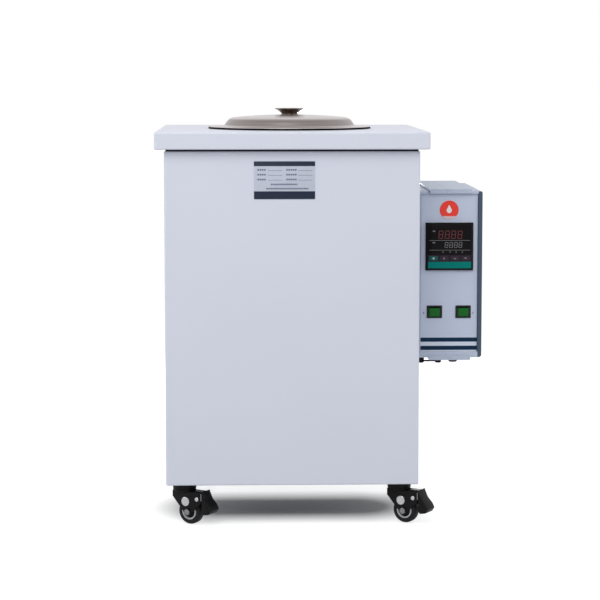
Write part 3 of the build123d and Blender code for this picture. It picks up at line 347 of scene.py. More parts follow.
refinished(powder_coat, "powder_coat", "rear_panel", "box_bracket")
zinc = coat("bright_zinc", (0.62, 0.63, 0.66), (0.50, 0.51, 0.54), 90, 900, (0.22, 0.36),
            0.00003, metallic=1.0)

head_radius, head_height = 0.004, 0.0024
recess_reach, recess_half = 0.0019, 0.0004
pan_head = upright_cylinder("pan_head", head_radius, 0, head_height, 24)
eased(lambda p, d: near(p.z, head_height) and near(p.xy.length, head_radius, 0.0002), 0.0014, 4)
cuts = (-recess_reach, -recess_half, recess_half, recess_reach)
sliced(cuts, (1, 0, 0))
sliced(cuts, (0, 1, 0))
pushed(lambda p, n: n.z > 0.99 and min(abs(p.x), abs(p.y)) < recess_half
       and max(abs(p.x), abs(p.y)) < recess_reach, (0, 0, -0.0013))
closed_up(pan_head, zinc)
to_rear = Matrix.Rotation(math.radians(-90), 4, "X")
heads = []
column_reach, lowest_row, row_pitch = 0.2363, 0.12, 0.189
for column in (-1, 1):
    for row in range(4):
        place = (column * column_reach, shell_half, lowest_row + row_pitch * row)
        heads.append(copied(pan_head, f"screw_{row}", Matrix.Translation(place) @ to_rear))
dropped(pan_head)
screws = joined("rear_panel_screws", heads)
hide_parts("panel_screws")
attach(screws, "cabinet")

# Seal between the cabinet and its cover: a dark strip of foam rubber set back a few
# millimetres, so it shows as a dark line in the joint.
rubber = coat("black_rubber", (0.005, 0.005, 0.006), (0.009, 0.009, 0.010), 40, 700,
              (0.55, 0.75), 0.00015, shine=0.2)
cover_foot, seal_half, seal_width = 0.731, 0.242, 0.012
seal = block_between("cover_seal_strip", (-seal_half, -seal_half, shell_top),
                     (seal_half, seal_half, cover_foot))
eased(lambda p, d: abs(d.z) > 0.9, 0.003, 4)
rimmed(lambda p, n: n.z > 0.99, seal_width)
rimmed(lambda p, n: n.z < -0.99 and abs(p.x) < 0.05, seal_width)
bpy.ops.mesh.select_mode(type="EDGE")
bpy.ops.mesh.select_all(action="DESELECT")
bpy.ops.mesh.select_non_manifold()
bpy.ops.mesh.bridge_edge_loops()
eased(lambda p, d: abs(d.z) < 0.1 and max(abs(p.x), abs(p.y)) > 0.2385, 0.0008, 2)
closed_up(seal, rubber)
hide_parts("cover_seal")
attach(seal, "cabinet")

# Top cover: a shallow pan of the same sheet turned upside down over the cabinet, with its
# corners welded and ground round, a return flange under its skirt and a hole for the tank.
def outward():
    """Turns every face of the open shape outwards."""
    bpy.ops.mesh.select_all(action="SELECT")
    bpy.ops.mesh.normals_make_consistent(inside=False)


def holed(test, radius, height, vertices):
    """Cuts a round hole on the vertical axis through the level face that passes a test."""
    choose("FACE", test)
    bpy.ops.mesh.delete(type="ONLY_FACE")
    bpy.ops.mesh.select_mode(type="EDGE")
    bpy.ops.mesh.select_all(action="DESELECT")
    bpy.ops.mesh.primitive_circle_add(vertices=vertices, radius=radius, location=(0, 0, height))
    choose("EDGE", lambda p, d: near(p.z, height))
    bpy.ops.mesh.fill()
    outward()


cover_half, cover_top, hole_radius, skirt_flange = 0.263, 0.764, 0.1505, 0.035
cover = block_between("cover_sheet", (-cover_half, -cover_half, cover_foot),
                      (cover_half, cover_half, cover_top))
eased(lambda p, d: abs(d.z) > 0.9, 0.006, 6)
eased(lambda p, d: near(p.z, cover_top), 0.0028, 5)
eased(lambda p, d: near(p.z, cover_foot), 0.0024, 4)
rimmed(lambda p, n: n.z < -0.99 and p.xy.length < 0.05, skirt_flange)
holed(lambda p, n: n.z > 0.99 and p.xy.length < 0.05, hole_radius, cover_top, 128)
closed_up(cover, powder_coat)
treated(cover, "SOLIDIFY", thickness=sheet_gauge, offset=-1, use_even_offset=True)
treated(cover, "WEIGHTED_NORMAL", keep_sharp=True)
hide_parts("top_cover")
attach(cover, "cabinet")

# Rating plate: a thin foil plate on the front, printed with a dark blue bar above and below
# a pale field. Nothing is written on it: its five rows are only broken bars and ruled lines.
def arithmetic(tree, operation, *values):
    """A Math node fed by outputs or plain numbers, as its own output."""
    return node_result(tree, "Math", "Value", dict(enumerate(values)), operation=operation)


def both(tree, one, other):
    """One where two masks are one, as their product."""
    return arithmetic(tree, "MULTIPLY", one, other)


def either(tree, one, other):
    """One where either of two masks is one, as their larger."""
    return arithmetic(tree, "MAXIMUM", one, other)


def between(tree, value, low, high):
    """One where a value lies between two numbers, and zero elsewhere."""
    return both(tree, arithmetic(tree, "GREATER_THAN", value, low),
                arithmetic(tree, "LESS_THAN", value, high))


def any_of(tree, value, spans):
    """One where a value lies in any of these spans."""
    found = 0.0
    for low, high in spans:
        found = either(tree, found, between(tree, value, low, high))
    return found


def axes_of(tree, kind="Object"):
    """The three coordinates of a point."""
    apart = tree.nodes.new("ShaderNodeSeparateXYZ")
    fed(tree, apart.inputs["Vector"], node_result(tree, "TexCoord", kind))
    return tuple(apart.outputs)


plate_finish, tree, shader = finish_named("rating_plate_print", (0.56, 0.585, 0.69), 0.42,
                                          shine=0.2)
across, _, up = axes_of(tree)
bars = any_of(tree, up, ((0.6988, 0.7080), (0.6358, 0.6508)))
row_heights, row_half, line_top = (0.6918, 0.6826, 0.6733), 0.0016, -0.0009
rows = any_of(tree, up, [(height - row_half, height + row_half) for height in row_heights])
lines = any_of(tree, up, [(height - row_half, height + line_top) for height in row_heights])
labels = any_of(tree, across, ((-0.0680, -0.0510), (-0.0118, 0.0090)))
fields = any_of(tree, across, ((-0.0465, -0.0195), (0.0110, 0.0385)))
fourth_row = both(tree, between(tree, up, 0.6625, 0.6655), between(tree, across, -0.042, 0.010))
fifth_row = both(tree, between(tree, up, 0.6545, 0.6573), between(tree, across, -0.050, 0.031))
bar_pitch, gap_share = 0.0042, 0.28
along_bar = arithmetic(tree, "FRACT",
                       arithmetic(tree, "MULTIPLY_ADD", across, 1 / bar_pitch, 0.1))
printed = either(tree, either(tree, fourth_row, fifth_row), both(tree, rows, labels))
broken = both(tree, arithmetic(tree, "GREATER_THAN", along_bar, gap_share), printed)
ruled = either(tree, broken, both(tree, lines, fields))
field = painted(tree, noise(tree, 160), (0.47, 0.50, 0.60), (0.54, 0.57, 0.67))
field = painted(tree, ruled, field, (0.09, 0.11, 0.18))
fed(tree, shader.inputs["Base Color"], painted(tree, bars, field, (0.014, 0.021, 0.045)))

plate_face = -0.2456
plate = block_between("rating_plate", (-0.0735, plate_face, 0.635), (0.0435, -shell_half, 0.709))
eased(lambda p, d: abs(d.y) > 0.9, 0.0015, 4)
eased(lambda p, d: near(p.y, plate_face) and abs(d.y) < 0.1, 0.0002, 2)
closed_up(plate, plate_finish)
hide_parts("nameplate")
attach(plate, "cabinet")

# Tank and its stand: a deep stainless pot with a shoulder and a narrower neck, standing on a
# zinc-plated ring with four legs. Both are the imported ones.
def length_of(tree, one, other):
    """The length of a level vector with these two parts."""
    flat = node_result(tree, "CombineXYZ", "Vector", {"X": one, "Y": other})
    return node_result(tree, "VectorMath", "Value", {0: flat}, operation="LENGTH")


brushed_metal, given = pattern_group("brushed_metal", "Rings")
across, along, _ = axes_of(brushed_metal)
reach = arithmetic(brushed_metal, "MULTIPLY", length_of(brushed_metal, across, along),
                   given["Rings"])
rings = node_result(brushed_metal, "TexNoise", "Fac", {"W": reach, "Scale": 1, "Detail": 4},
                    noise_dimensions="1D")
pattern_shown(brushed_metal, given, rings, rings)


def brushed(name, colour, shade, rings, gloss, depth):
    """Metal turned or ground in rings round the vertical axis."""
    relief = 0.4
    return patterned(name, brushed_metal, {"Rings": rings}, colour, shade, gloss, relief, depth,
                     metallic=1.0)


tank_steel = brushed("tank_steel", (0.74, 0.74, 0.75), (0.64, 0.64, 0.65), 900, (0.24, 0.4),
                     0.00004)
refinished(tank_steel, "stainless", "tank")
refinished(zinc, "zinc", "tank_stand", "castor_nuts")

# Insulation: a blanket of mineral wool wrapped round the tank wall and held by three thin
# steel bands. It is cut back round the heater's glands and the return pipe.
wool, tree, shader = finish_named("mineral_wool", (0.42, 0.36, 0.22), 0.95)
strands = noise(tree, 420, detail=6, distortion=1.5)
woolly = painted(tree, strands, (0.50, 0.44, 0.28), (0.27, 0.22, 0.12))
fed(tree, shader.inputs["Base Color"],
    painted(tree, noise(tree, 28), woolly, (0.40, 0.34, 0.20)))
bumped(tree, shader, strands, 0.9, 0.002)

blanket_foot, blanket_top, slices = 0.318, 0.734, 40
cut_half, cut_top = 0.038, 0.416
blanket = upright_cylinder("wool_blanket", 0.2118, blanket_foot, blanket_top, 144, "NOTHING")
slice_height = (blanket_top - blanket_foot) / slices
sliced([blanket_foot + slice_height * number for number in range(1, slices)], (0, 0, 1))
removed(lambda p, n: p.x > 0 and abs(p.y) < cut_half and p.z < cut_top)
strap_heights, strap_half, pinch_reach, pinch = (0.37, 0.526, 0.68), 0.006, 0.008, 0.986
for height in strap_heights:
    choose("VERT", lambda p, n: near(p.z, height, pinch_reach))
    bpy.ops.transform.resize(value=(pinch, pinch, 1), center_override=(0, 0, height))
closed_up(blanket, wool, 60)
lumps = bpy.data.textures.new("wool_lumps", "CLOUDS")
lumps.noise_scale = 0.045
treated(blanket, "DISPLACE", texture=lumps, strength=0.005, mid_level=0.5)
treated(blanket, "SOLIDIFY", thickness=0.019, offset=-1)
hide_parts("insulation_wrap")
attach(blanket, "cabinet")
straps = []
for height in strap_heights:
    strap = upright_cylinder(f"wool_band_{len(straps)}", 0.2115, height - strap_half,
                             height + strap_half, 144, "NOTHING")
    if height < cut_top:
        removed(lambda p, n: p.x > 0 and abs(p.y) < cut_half)
    closed_up(strap, zinc)
    treated(strap, "SOLIDIFY", thickness=0.0006, offset=1)
    straps.append(strap)
straps = joined("wool_bands", straps)
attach(straps, "cabinet")

# Heater, probe, pipes, pump and relay: bought-in fittings, all as packed. The heater and the
# pipes are stainless, the pump's housing is cast, its motor painted and its bracket zinc plated.
pipe_steel = coat("pipe_steel", (0.56, 0.56, 0.57), (0.46, 0.46, 0.47), 30, 500, (0.25, 0.38),
                  0.00003, metallic=1.0)
cast_metal = coat("cast_aluminium", (0.50, 0.51, 0.52), (0.38, 0.39, 0.40), 45, 380,
                  (0.42, 0.6), 0.0002, metallic=1.0)
heater_steel = coat("heater_sheath", (0.34, 0.33, 0.31), (0.24, 0.22, 0.20), 60, 500,
                    (0.35, 0.5), 0.00004, metallic=1.0)
brass = coat("brass", (0.62, 0.45, 0.20), (0.50, 0.35, 0.15), 70, 600, (0.24, 0.38),
             0.00004, metallic=1.0)
motor_paint = coat("motor_paint", (0.035, 0.038, 0.045), (0.05, 0.053, 0.06), 25, 500,
                   (0.4, 0.55), 0.0001)
refinished(heater_steel, "stainless", "heater")
refinished(pipe_steel, "stainless", "temperature_probe", "outlet_manifold", "delivery_pipe",
           "return_pipe")
refinished(cast_metal, "cast_aluminium", "pump_housing", "relay", "pump_rotor")
refinished(motor_paint, "black_paint", "pump_motor")
refinished(zinc, "zinc", "pump_bracket")

# Lid: a pressed stainless disc with a flat rim, a raised step and a faintly domed top,
# ground in fine rings. Its black seal shows as a dark line under the rim.
def drawn(name, points):
    """A line through these points, open in edit mode."""
    bpy.ops.object.select_all(action="DESELECT")
    bpy.ops.mesh.primitive_plane_add(size=0.001)
    piece = opened(name)
    bpy.ops.mesh.select_mode(type="VERT")
    bpy.ops.mesh.select_all(action="SELECT")
    bpy.ops.mesh.merge(type="CENTER")
    bpy.ops.transform.translate(value=points[0])
    for start, end in zip(points, points[1:]):
        move = tuple(b - a for a, b in zip(start, end))
        bpy.ops.mesh.extrude_region_move(TRANSFORM_OT_translate={"value": move})
    return piece


def turned(name, outline, steps):
    """A shape spun round the vertical axis from (radius, height, rounding) points."""
    piece = drawn(name, [(radius, 0, height) for radius, height, _ in outline])
    for radius, height, rounding in outline:
        if rounding:
            choose("VERT", lambda p, n: near(p.x, radius, 0.00001) and near(p.z, height, 0.00001))
            bpy.ops.mesh.bevel(offset=rounding, segments=5, affect="VERTICES")
    bpy.ops.mesh.select_mode(type="VERT")
    bpy.ops.mesh.select_all(action="SELECT")
    bpy.ops.mesh.spin(steps=steps, angle=math.tau, center=(0, 0, 0), axis=(0, 0, 1))
    bpy.ops.mesh.select_all(action="SELECT")
    bpy.ops.mesh.remove_doubles(threshold=0.000005)
    bpy.ops.mesh.normals_make_consistent(inside=False)
    return piece


def painted_light_band(finish, measure, start, full, end, colour):
    """Paints a metal another colour between two radii or two heights, from nothing at start to
    full: painted light or shade.
    """
    tree = finish.node_tree
    across, along, up = axes_of(tree)
    value = length_of(tree, across, along) if measure == "radius" else up
    mask = both(tree, ranged(tree, value, start, full, kind="SMOOTHSTEP"),
                arithmetic(tree, "LESS_THAN", value, end))
    base = tree.nodes["Principled BSDF"].inputs["Base Color"]
    fed(tree, base, painted(tree, mask, base.links[0].from_socket, colour))


lid_steel = brushed("lid_steel", (0.60, 0.555, 0.56), (0.51, 0.465, 0.47), 1400, (0.26, 0.38),
                    0.00003)
# Painted reflection: the wall of the step is painted darker, standing for the dark surroundings it
# mirrors.
painted_light_band(lid_steel, "radius", 0.1190, 0.1240, 0.1322, (0.30, 0.275, 0.27))
lid = turned("lid_pressing", (
    (0.0032, 0.7918, 0), (0.0225, 0.7918, 0), (0.074, 0.7901, 0.03), (0.1225, 0.7856, 0.009),
    (0.1330, 0.7688, 0.005), (0.1637, 0.7686, 0.0008), (0.1650, 0.7683, 0.0004),
    (0.1650, 0.7677, 0.0003), (0.1637, 0.7674, 0), (0.1320, 0.7676, 0.004),
    (0.1215, 0.7845, 0.008), (0.074, 0.7889, 0), (0.0032, 0.7905, 0), (0.0032, 0.7918, 0)), 160)
closed_up(lid, lid_steel, 40)
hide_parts("lid")
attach(lid, "lid_assembly")
seal_rubber = coat("seal_rubber", (0.002, 0.002, 0.002), (0.004, 0.004, 0.004), 60, 700,
                   (0.5, 0.7), 0.00008, shine=0.05)
lid_seal = turned("lid_seal_ring", (
    (0.158, 0.7642, 0), (0.1641, 0.7642, 0.0006), (0.1646, 0.7655, 0.0006),
    (0.1643, 0.7674, 0.0004), (0.158, 0.7674, 0), (0.158, 0.7642, 0)), 160)
closed_up(lid_seal, seal_rubber)
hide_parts("lid_seal")
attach(lid_seal, "lid_assembly")

# Knob: a turned stainless funnel with a thin flared rim and a dished top, on a flat ring. A
# screw from below holds it.
# The knob's dark brown is partly painted reflection: it stands for dark surroundings seen in the
# polished metal.
knob_steel = brushed("knob_steel", (0.22, 0.185, 0.16), (0.13, 0.107, 0.09), 1800,
                     (0.15, 0.26), 0.00002)
# Painted highlight: the top edge of the flared rim is painted lighter.
painted_light_band(knob_steel, "height", 0.8045, 0.8047, 0.9, (0.55, 0.53, 0.50))
knob = turned("lid_knob_turning", (
    (0, 0.7903, 0), (0.0180, 0.7903, 0), (0.0180, 0.7924, 0.0004), (0.0160, 0.7928, 0.0006),
    (0.0156, 0.7936, 0.0008), (0.0198, 0.7982, 0.003), (0.0260, 0.8024, 0.002),
    (0.0300, 0.8037, 0.0004), (0.0300, 0.8048, 0.0004), (0.0275, 0.8046, 0.001),
    (0.0205, 0.8006, 0.003), (0.010, 0.7998, 0.002), (0, 0.8000, 0)), 96)
closed_up(knob, knob_steel, 40)
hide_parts("lid_knob")
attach(knob, "lid_assembly")
refinished(zinc, "zinc", "lid_knob_screw")

# Hose nozzles: two nickel-plated bulkhead fittings on the rear, each with a barbed spigot, a
# hexagon nut outside and a longer one inside that the pipe is soldered into.
def nut_ring(name, corner, low, high, rim, finish):
    """A hexagon nut on the vertical axis, with its hole and eased edges."""
    nut = upright_cylinder(name, corner, low, high, 6)
    eased(lambda p, d: True, 0.0005, 2)
    rimmed(lambda p, n: n.z > 0.99, rim)
    rimmed(lambda p, n: n.z < -0.99, rim)
    closed_up(nut, finish, 25)
    return nut


nickel = coat("nickel_plate", (0.60, 0.58, 0.53), (0.50, 0.48, 0.43), 60, 700, (0.18, 0.3),
              0.00003, metallic=1.0)
barbs = [(0.0072, 0.0062, 0), (0.0072, 0.0105, 0)]
for start in (0.0106, 0.0161, 0.0216, 0.0271):
    barbs += [(0.0080, start, 0.0002), (0.0071, start + 0.0054, 0)]
spigot = turned("spigot", (
    (0.0081, -0.0172, 0), (0.0105, -0.0172, 0), (0.0105, -0.0012, 0), (0.0090, -0.0012, 0),
    (0.0090, 0.0062, 0.0004), *barbs, (0.0066, 0.0340, 0.0002), (0.0060, 0.0340, 0),
    (0.0060, -0.0072, 0), (0.0081, -0.0072, 0), (0.0081, -0.0172, 0)), 32)
closed_up(spigot, nickel, 30)
fitting = joined("fitting", [spigot, nut_ring("outer_nut", 0.013, 0, 0.006, 0.0045, nickel),
                             nut_ring("inner_nut", 0.013, -0.0172, -0.0012, 0.0035, nickel)])
fittings = [copied(fitting, f"fitting_{height}",
                   Matrix.Translation((-0.175, 0.245, height)) @ to_rear)
            for height in (0.52, 0.60)]
dropped(fitting)
nozzles = joined("bulkhead_nozzles", fittings)
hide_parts("hose_nozzles")
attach(nozzles, "cabinet")

# Drain valve: a brass ball valve with hexagon ends, a barbed spigot and a stem bonnet, and a
# zinc-plated steel lever with a dark dipped grip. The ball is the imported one.
shell = turned("valve_shell", (
    (0.0111, 0, 0), (0.0150, 0, 0.0005), (0.0150, 0.0100, 0), (0.0165, 0.0125, 0.001),
    (0.0165, 0.0310, 0.001), (0.0145, 0.0335, 0.0005), (0.0145, 0.0420, 0.0005),
    (0.0080, 0.0420, 0.0003), (0.0080, 0.0460, 0.0003), (0.0070, 0.0500, 0),
    (0.0080, 0.0501, 0.0002), (0.0070, 0.0565, 0), (0.0080, 0.0566, 0.0002),
    (0.0068, 0.0640, 0.0003), (0.0060, 0.0640, 0), (0.0060, 0.0325, 0), (0.0100, 0.02877, 0),
    (0.0116, 0.0254, 0), (0.01205, 0.02205, 0), (0.0116, 0.0187, 0), (0.0100, 0.01533, 0),
    (0.0060, 0.0116, 0), (0.0060, 0.0100, 0), (0.0111, 0.0100, 0), (0.0111, 0, 0)), 48)
closed_up(shell, brass, 30)
ends = joined("valve_ends", [shell, nut_ring("near_end", 0.017, 0.0004, 0.0100, 0.0035, brass),
                             nut_ring("far_end", 0.0165, 0.0340, 0.0418, 0.0060, brass)])
ends.data.transform(Matrix.Translation((0.03, 0.2453, 0.157)) @ to_rear)
bonnet = turned("valve_bonnet", (
    (0.0041, 0.1695, 0), (0.0080, 0.1695, 0), (0.0080, 0.1755, 0.0005), (0.0062, 0.1760, 0.0003),
    (0.0062, 0.1800, 0.0005), (0.0041, 0.1800, 0), (0.0041, 0.1695, 0)), 32)
closed_up(bonnet, brass, 30)
packing = nut_ring("packing_nut", 0.0085, 0.1762, 0.1794, 0.0030, brass)
stem_x, stem_y = 0.03, 0.26735
for part in (bonnet, packing):
    part.data.transform(Matrix.Translation((stem_x, stem_y, 0)))
valve = joined("drain_valve_casting", [ends, bonnet, packing])
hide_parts("drain_valve_body")
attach(valve, "cabinet")
refinished(nickel, "brass", "drain_valve_ball")

lever = block_between("drain_lever_strap", (0.024, stem_y - 0.006, 0.1803),
                      (0.070, stem_y + 0.006, 0.1833))
eased(lambda p, d: abs(d.z) > 0.9, 0.0055, 6)
eased(lambda p, d: abs(d.z) < 0.1, 0.0005, 2)
closed_up(lever, zinc)
stem_nut = nut_ring("stem_nut", 0.0062, 0.1834, 0.1868, 0.0030, zinc)
stem_nut.data.transform(Matrix.Translation((stem_x, stem_y, 0)))
lever = joined("drain_lever_strap", [lever, stem_nut])
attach(lever, "drain_lever_body")
grip_dip = coat("grip_dip", (0.20, 0.012, 0.010), (0.15, 0.010, 0.008), 60, 500,
                (0.3, 0.45), 0.0001)
grip_start, grip_full, grip_end = 0.058, 0.067, 0.094
grip = block_between("drain_lever_grip", (grip_start, stem_y - 0.008, 0.1783),
                     (grip_end, stem_y + 0.008, 0.1863))
sliced((grip_full, 0.085), (1, 0, 0))
choose("VERT", lambda p, n: near(p.x, grip_start) or near(p.x, grip_full))
bpy.ops.transform.resize(value=(1, 0.86, 0.8), center_override=(0.06, stem_y, 0.1823))
eased(lambda p, d: not (grip_start + 0.0001 < p.x < grip_end - 0.0001 and abs(d.x) < 0.5),
      0.0016, 4)
closed_up(grip, grip_dip, 50)
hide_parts("drain_valve_lever")
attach(grip, "drain_lever_body")

# Control box: two moulded half shells with a raised rib and lip along the top and the bottom,
# chamfered front edges and a seam along the middle. The right chamfer alone is dark blue-grey:
# painted shade on the side turned from the light.
box_plastic = coat("box_plastic", (0.47, 0.53, 0.65), (0.44, 0.50, 0.61), 8, 800,
                   (0.38, 0.5), 0.00008, shine=0.35)
# Painted shade: this dark blue-grey stands for the shade on the right chamfer.
shade_chamfer_finish = coat("painted_shade_chamfer", (0.055, 0.080, 0.125), (0.045, 0.070, 0.112), 8, 800,
             (0.4, 0.5), 0.00008, shine=0.2)
rib_left, rib_right, groove_left = 0.281, 0.364, 0.2784
lip_low, lip_high, panel_low, panel_high = 0.3065, 0.635, 0.3145, 0.634
case_rear = 0.231
case = block_between("box_case", (0.253, -0.069, 0.3025), (0.388, case_rear, 0.639))
eased(lambda p, d: abs(d.z) > 0.9 and p.y < 0, 0.009, 1)
eased(lambda p, d: abs(d.y) > 0.9, 0.004, 4)
eased(lambda p, d: near(p.y, case_rear), 0.003, 3)
sliced((groove_left, rib_left, rib_right), (1, 0, 0))
sliced((lip_low, panel_low, panel_high, lip_high), (0, 0, 1))
pushed(lambda p, n: n.z > 0.99 and rib_left < p.x < rib_right, (0, 0, 0.005))
pushed(lambda p, n: n.z < -0.99 and rib_left < p.x < rib_right, (0, 0, -0.005))
pushed(lambda p, n: n.y < -0.99 and rib_left < p.x < rib_right
       and not lip_low <= p.z <= lip_high, (0, -0.003, 0))
pushed(lambda p, n: n.z > 0.99 and groove_left < p.x < rib_left, (0, 0, -0.002))
removed(lambda p, n: n.y < -0.99 and panel_low < p.z < panel_high)
outward()
closed_up(case, box_plastic)
case.data.materials.append(shade_chamfer_finish)
bpy.ops.object.mode_set(mode="EDIT")
# Only the right chamfer's faces take the painted shade.
choose("FACE", lambda p, n: n.x > 0.6 and n.y < -0.6)
case.active_material_index = 1
bpy.ops.object.material_slot_assign()
bpy.ops.object.mode_set(mode="OBJECT")
for side, seam in (("left", 0.31535), ("right", 0.31565)):
    half = copied(case, f"box_{side}_moulding", Matrix())
    bpy.ops.object.select_all(action="DESELECT")
    half.select_set(True)
    bpy.context.view_layer.objects.active = half
    bpy.ops.object.mode_set(mode="EDIT")
    bpy.ops.mesh.select_all(action="SELECT")
    bpy.ops.mesh.bisect(plane_co=(seam, 0, 0), plane_no=(1, 0, 0), clear_outer=side == "left",
                        clear_inner=side == "right")
    bpy.ops.object.mode_set(mode="OBJECT")
    treated(half, "SOLIDIFY", thickness=0.003, offset=-1)
    treated(half, "BEVEL", width=0.0007, segments=2, limit_method="ANGLE",
            angle_limit=math.radians(40))
    bpy.ops.object.shade_smooth_by_angle(angle=math.radians(35))
    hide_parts(f"box_{side}_shell")
    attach(half, "cabinet")
dropped(case)

# Control panel: a plain plastic plate with two navy stripes printed across its foot and thin
# pale lines beside them, and a short dark mark beside each switch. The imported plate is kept.
panel_print, tree, shader = finish_named("panel_print", (0.50, 0.55, 0.68), 0.45, shine=0.06)
across, _, up = axes_of(tree)
bumped(tree, shader, noise(tree, 900), 0.5, 0.00006)
colour = painted(tree, noise(tree, 14), (0.53, 0.585, 0.72), (0.57, 0.625, 0.76))
pale_lines = any_of(tree, up, ((0.3258, 0.3341), (0.3140, 0.3173)))
colour = painted(tree, pale_lines, colour, (0.64, 0.69, 0.80))
stripes = any_of(tree, up, ((0.3341, 0.3426), (0.3173, 0.3258)))
colour = painted(tree, stripes, colour, (0.008, 0.028, 0.064))
marks = both(tree, any_of(tree, across, ((0.2692, 0.2704), (0.3690, 0.3702))),
             between(tree, up, 0.3905, 0.3950))
fed(tree, shader.inputs["Base Color"], painted(tree, marks, colour, (0.03, 0.035, 0.06)))
refinished(panel_print, "panel_plastic", "control_panel")

# Badge: a thin round metal plate, enamelled red, with a plain white drop and a pale lower
# edge, glued to the panel.
badge_print, tree, shader = finish_named("badge_print", (0.72, 0.035, 0.014), 0.3)
badge_middle, drop_height = 0.320, 0.6005
across, _, up = axes_of(tree)
across = arithmetic(tree, "ABSOLUTE", arithmetic(tree, "SUBTRACT", across, badge_middle))
up = arithmetic(tree, "SUBTRACT", up, drop_height)
bowl = arithmetic(tree, "LESS_THAN", length_of(tree, across, up), 0.0052)
slope = arithmetic(tree, "MULTIPLY_ADD", up, -0.52, 0.0059)
point = both(tree, arithmetic(tree, "LESS_THAN", across, slope),
             between(tree, up, 0.002, 0.0113))
enamel = painted(tree, noise(tree, 300), (0.78, 0.020, 0.008), (0.86, 0.035, 0.012))
foot = arithmetic(tree, "LESS_THAN", up, -0.0115)
enamel = painted(tree, foot, enamel, (0.66, 0.50, 0.54))
drop = either(tree, bowl, point)
fed(tree, shader.inputs["Base Color"], painted(tree, drop, enamel, (0.80, 0.79, 0.78)))
badge = turned("round_badge", (
    (0, 0.0010, 0), (0.0172, 0.0010, 0.001), (0.0180, 0.0013, 0.0003), (0.0190, 0.0009, 0.0004),
    (0.0190, 0, 0), (0, 0, 0)), 64)
closed_up(badge, badge_print, 30)
to_front = Matrix.Rotation(math.radians(90), 4, "X")
panel_face = -0.065
badge.data.transform(Matrix.Translation((badge_middle, panel_face, 0.6015)) @ to_front)
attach(badge, "cabinet")

# Temperature controller: a black moulded bezel with a bevelled front, a recess for its window
# and four key openings. A teal band is printed under the keys and a dull mauve one behind them.
bezel_print, tree, shader = finish_named("bezel_print", (0.002, 0.002, 0.003), 0.5, shine=0.08)
across, depth, up = axes_of(tree)
grain = noise(tree, 1200)
bumped(tree, shader, grain, 0.5, 0.00005)
face = between(tree, depth, -0.0745, -0.0738)
teal = both(tree, face, both(tree, between(tree, up, 0.4845, 0.4975),
                             between(tree, across, 0.2770, 0.3640)))
mauve = both(tree, face, between(tree, up, 0.4975, 0.5115))
colour = painted(tree, grain, (0.005, 0.005, 0.006), (0.008, 0.008, 0.009))
colour = painted(tree, mauve, colour, (0.028, 0.018, 0.030))
fed(tree, shader.inputs["Base Color"], painted(tree, teal, colour, (0.0, 0.190, 0.160)))

key_places = {"set": 0.2881, "shift": 0.3097, "down": 0.3313, "up": 0.3529}
key_half, keys_low, keys_high = 0.0088, 0.4997, 0.5093
recess_left, recess_right, recess_low, recess_high = 0.2774, 0.3636, 0.5119, 0.5721
bezel_face = -0.074
bezel = block_between("controller_moulding", (0.2725, bezel_face, 0.480),
                      (0.3685, panel_face, 0.576))
eased(lambda p, d: near(p.y, bezel_face), 0.004, 1)
eased(lambda p, d: abs(p.y - bezel_face) < 0.0041 and abs(d.y) > 0.4, 0.0012, 3)
sliced((recess_left, recess_right,
        *(key + side * key_half for key in key_places.values() for side in (-1, 1))), (1, 0, 0))
sliced((keys_low, keys_high, recess_low, recess_high), (0, 0, 1))
pushed(lambda p, n: n.y < -0.99 and recess_left < p.x < recess_right
       and recess_low < p.z < recess_high, (0, 0.0015, 0))
pushed(lambda p, n: n.y < -0.99 and keys_low < p.z < keys_high
       and any(abs(p.x - key) < key_half for key in key_places.values()), (0, 0.0072, 0))
closed_up(bezel, bezel_print, 30)
treated(bezel, "BEVEL", width=0.0003, segments=2, limit_method="ANGLE",
        angle_limit=math.radians(40))
body = block_between("controller_body", (0.2755, -0.0652, 0.483), (0.3655, 0.005, 0.573))
eased(lambda p, d: True, 0.002, 2)
closed_up(body, bezel_print, 30)
bezel = joined("controller_moulding", [bezel, body])
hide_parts("controller_case")
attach(bezel, "cabinet")

# Its window: a smoky acrylic plate, with two rows of unlit seven-segment digits, two ruled
# lines, four indicator marks and a mark in front of each row.
def prism(name, outline, low, high):
    """A shape with this (x, z) outline between two depths, open in edit mode."""
    piece = drawn(name, [(x, low, z) for x, z in outline])
    bpy.ops.mesh.select_all(action="SELECT")
    bpy.ops.mesh.edge_face_add()
    bpy.ops.mesh.extrude_region_move(TRANSFORM_OT_translate={"value": (0, high - low, 0)})
    outward()
    return piece


smoky, tree, shader = finish_named("smoky_window", (0.004, 0.003, 0.004), 0.12, shine=0.08)
fed(tree, shader.inputs["Base Color"],
    painted(tree, noise(tree, 35), (0.003, 0.0025, 0.003), (0.006, 0.004, 0.005)))
window_face, print_face = -0.0741, -0.0742
window = block_between("display_window", (0.2775, window_face, 0.512), (0.3635, -0.0726, 0.572))
eased(lambda p, d: near(p.y, window_face) or abs(d.y) > 0.9, 0.0004, 2)
closed_up(window, smoky, 30)
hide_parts("controller_window")
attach(window, "cabinet")

red_segment = coat("red_segment", (0.12, 0.006, 0.010), (0.09, 0.005, 0.008), 120, 900,
                   (0.3, 0.4), 0.00001)
grey_segment = coat("grey_segment", (0.17, 0.17, 0.18), (0.13, 0.13, 0.14), 120, 900,
                    (0.35, 0.45), 0.00001)
segment = prism("segment", (
    (-0.5, 0), (-0.44, 0.5), (0.44, 0.5), (0.5, 0), (0.44, -0.5), (-0.44, -0.5)),
    print_face, window_face)
closed_up(segment, red_segment)


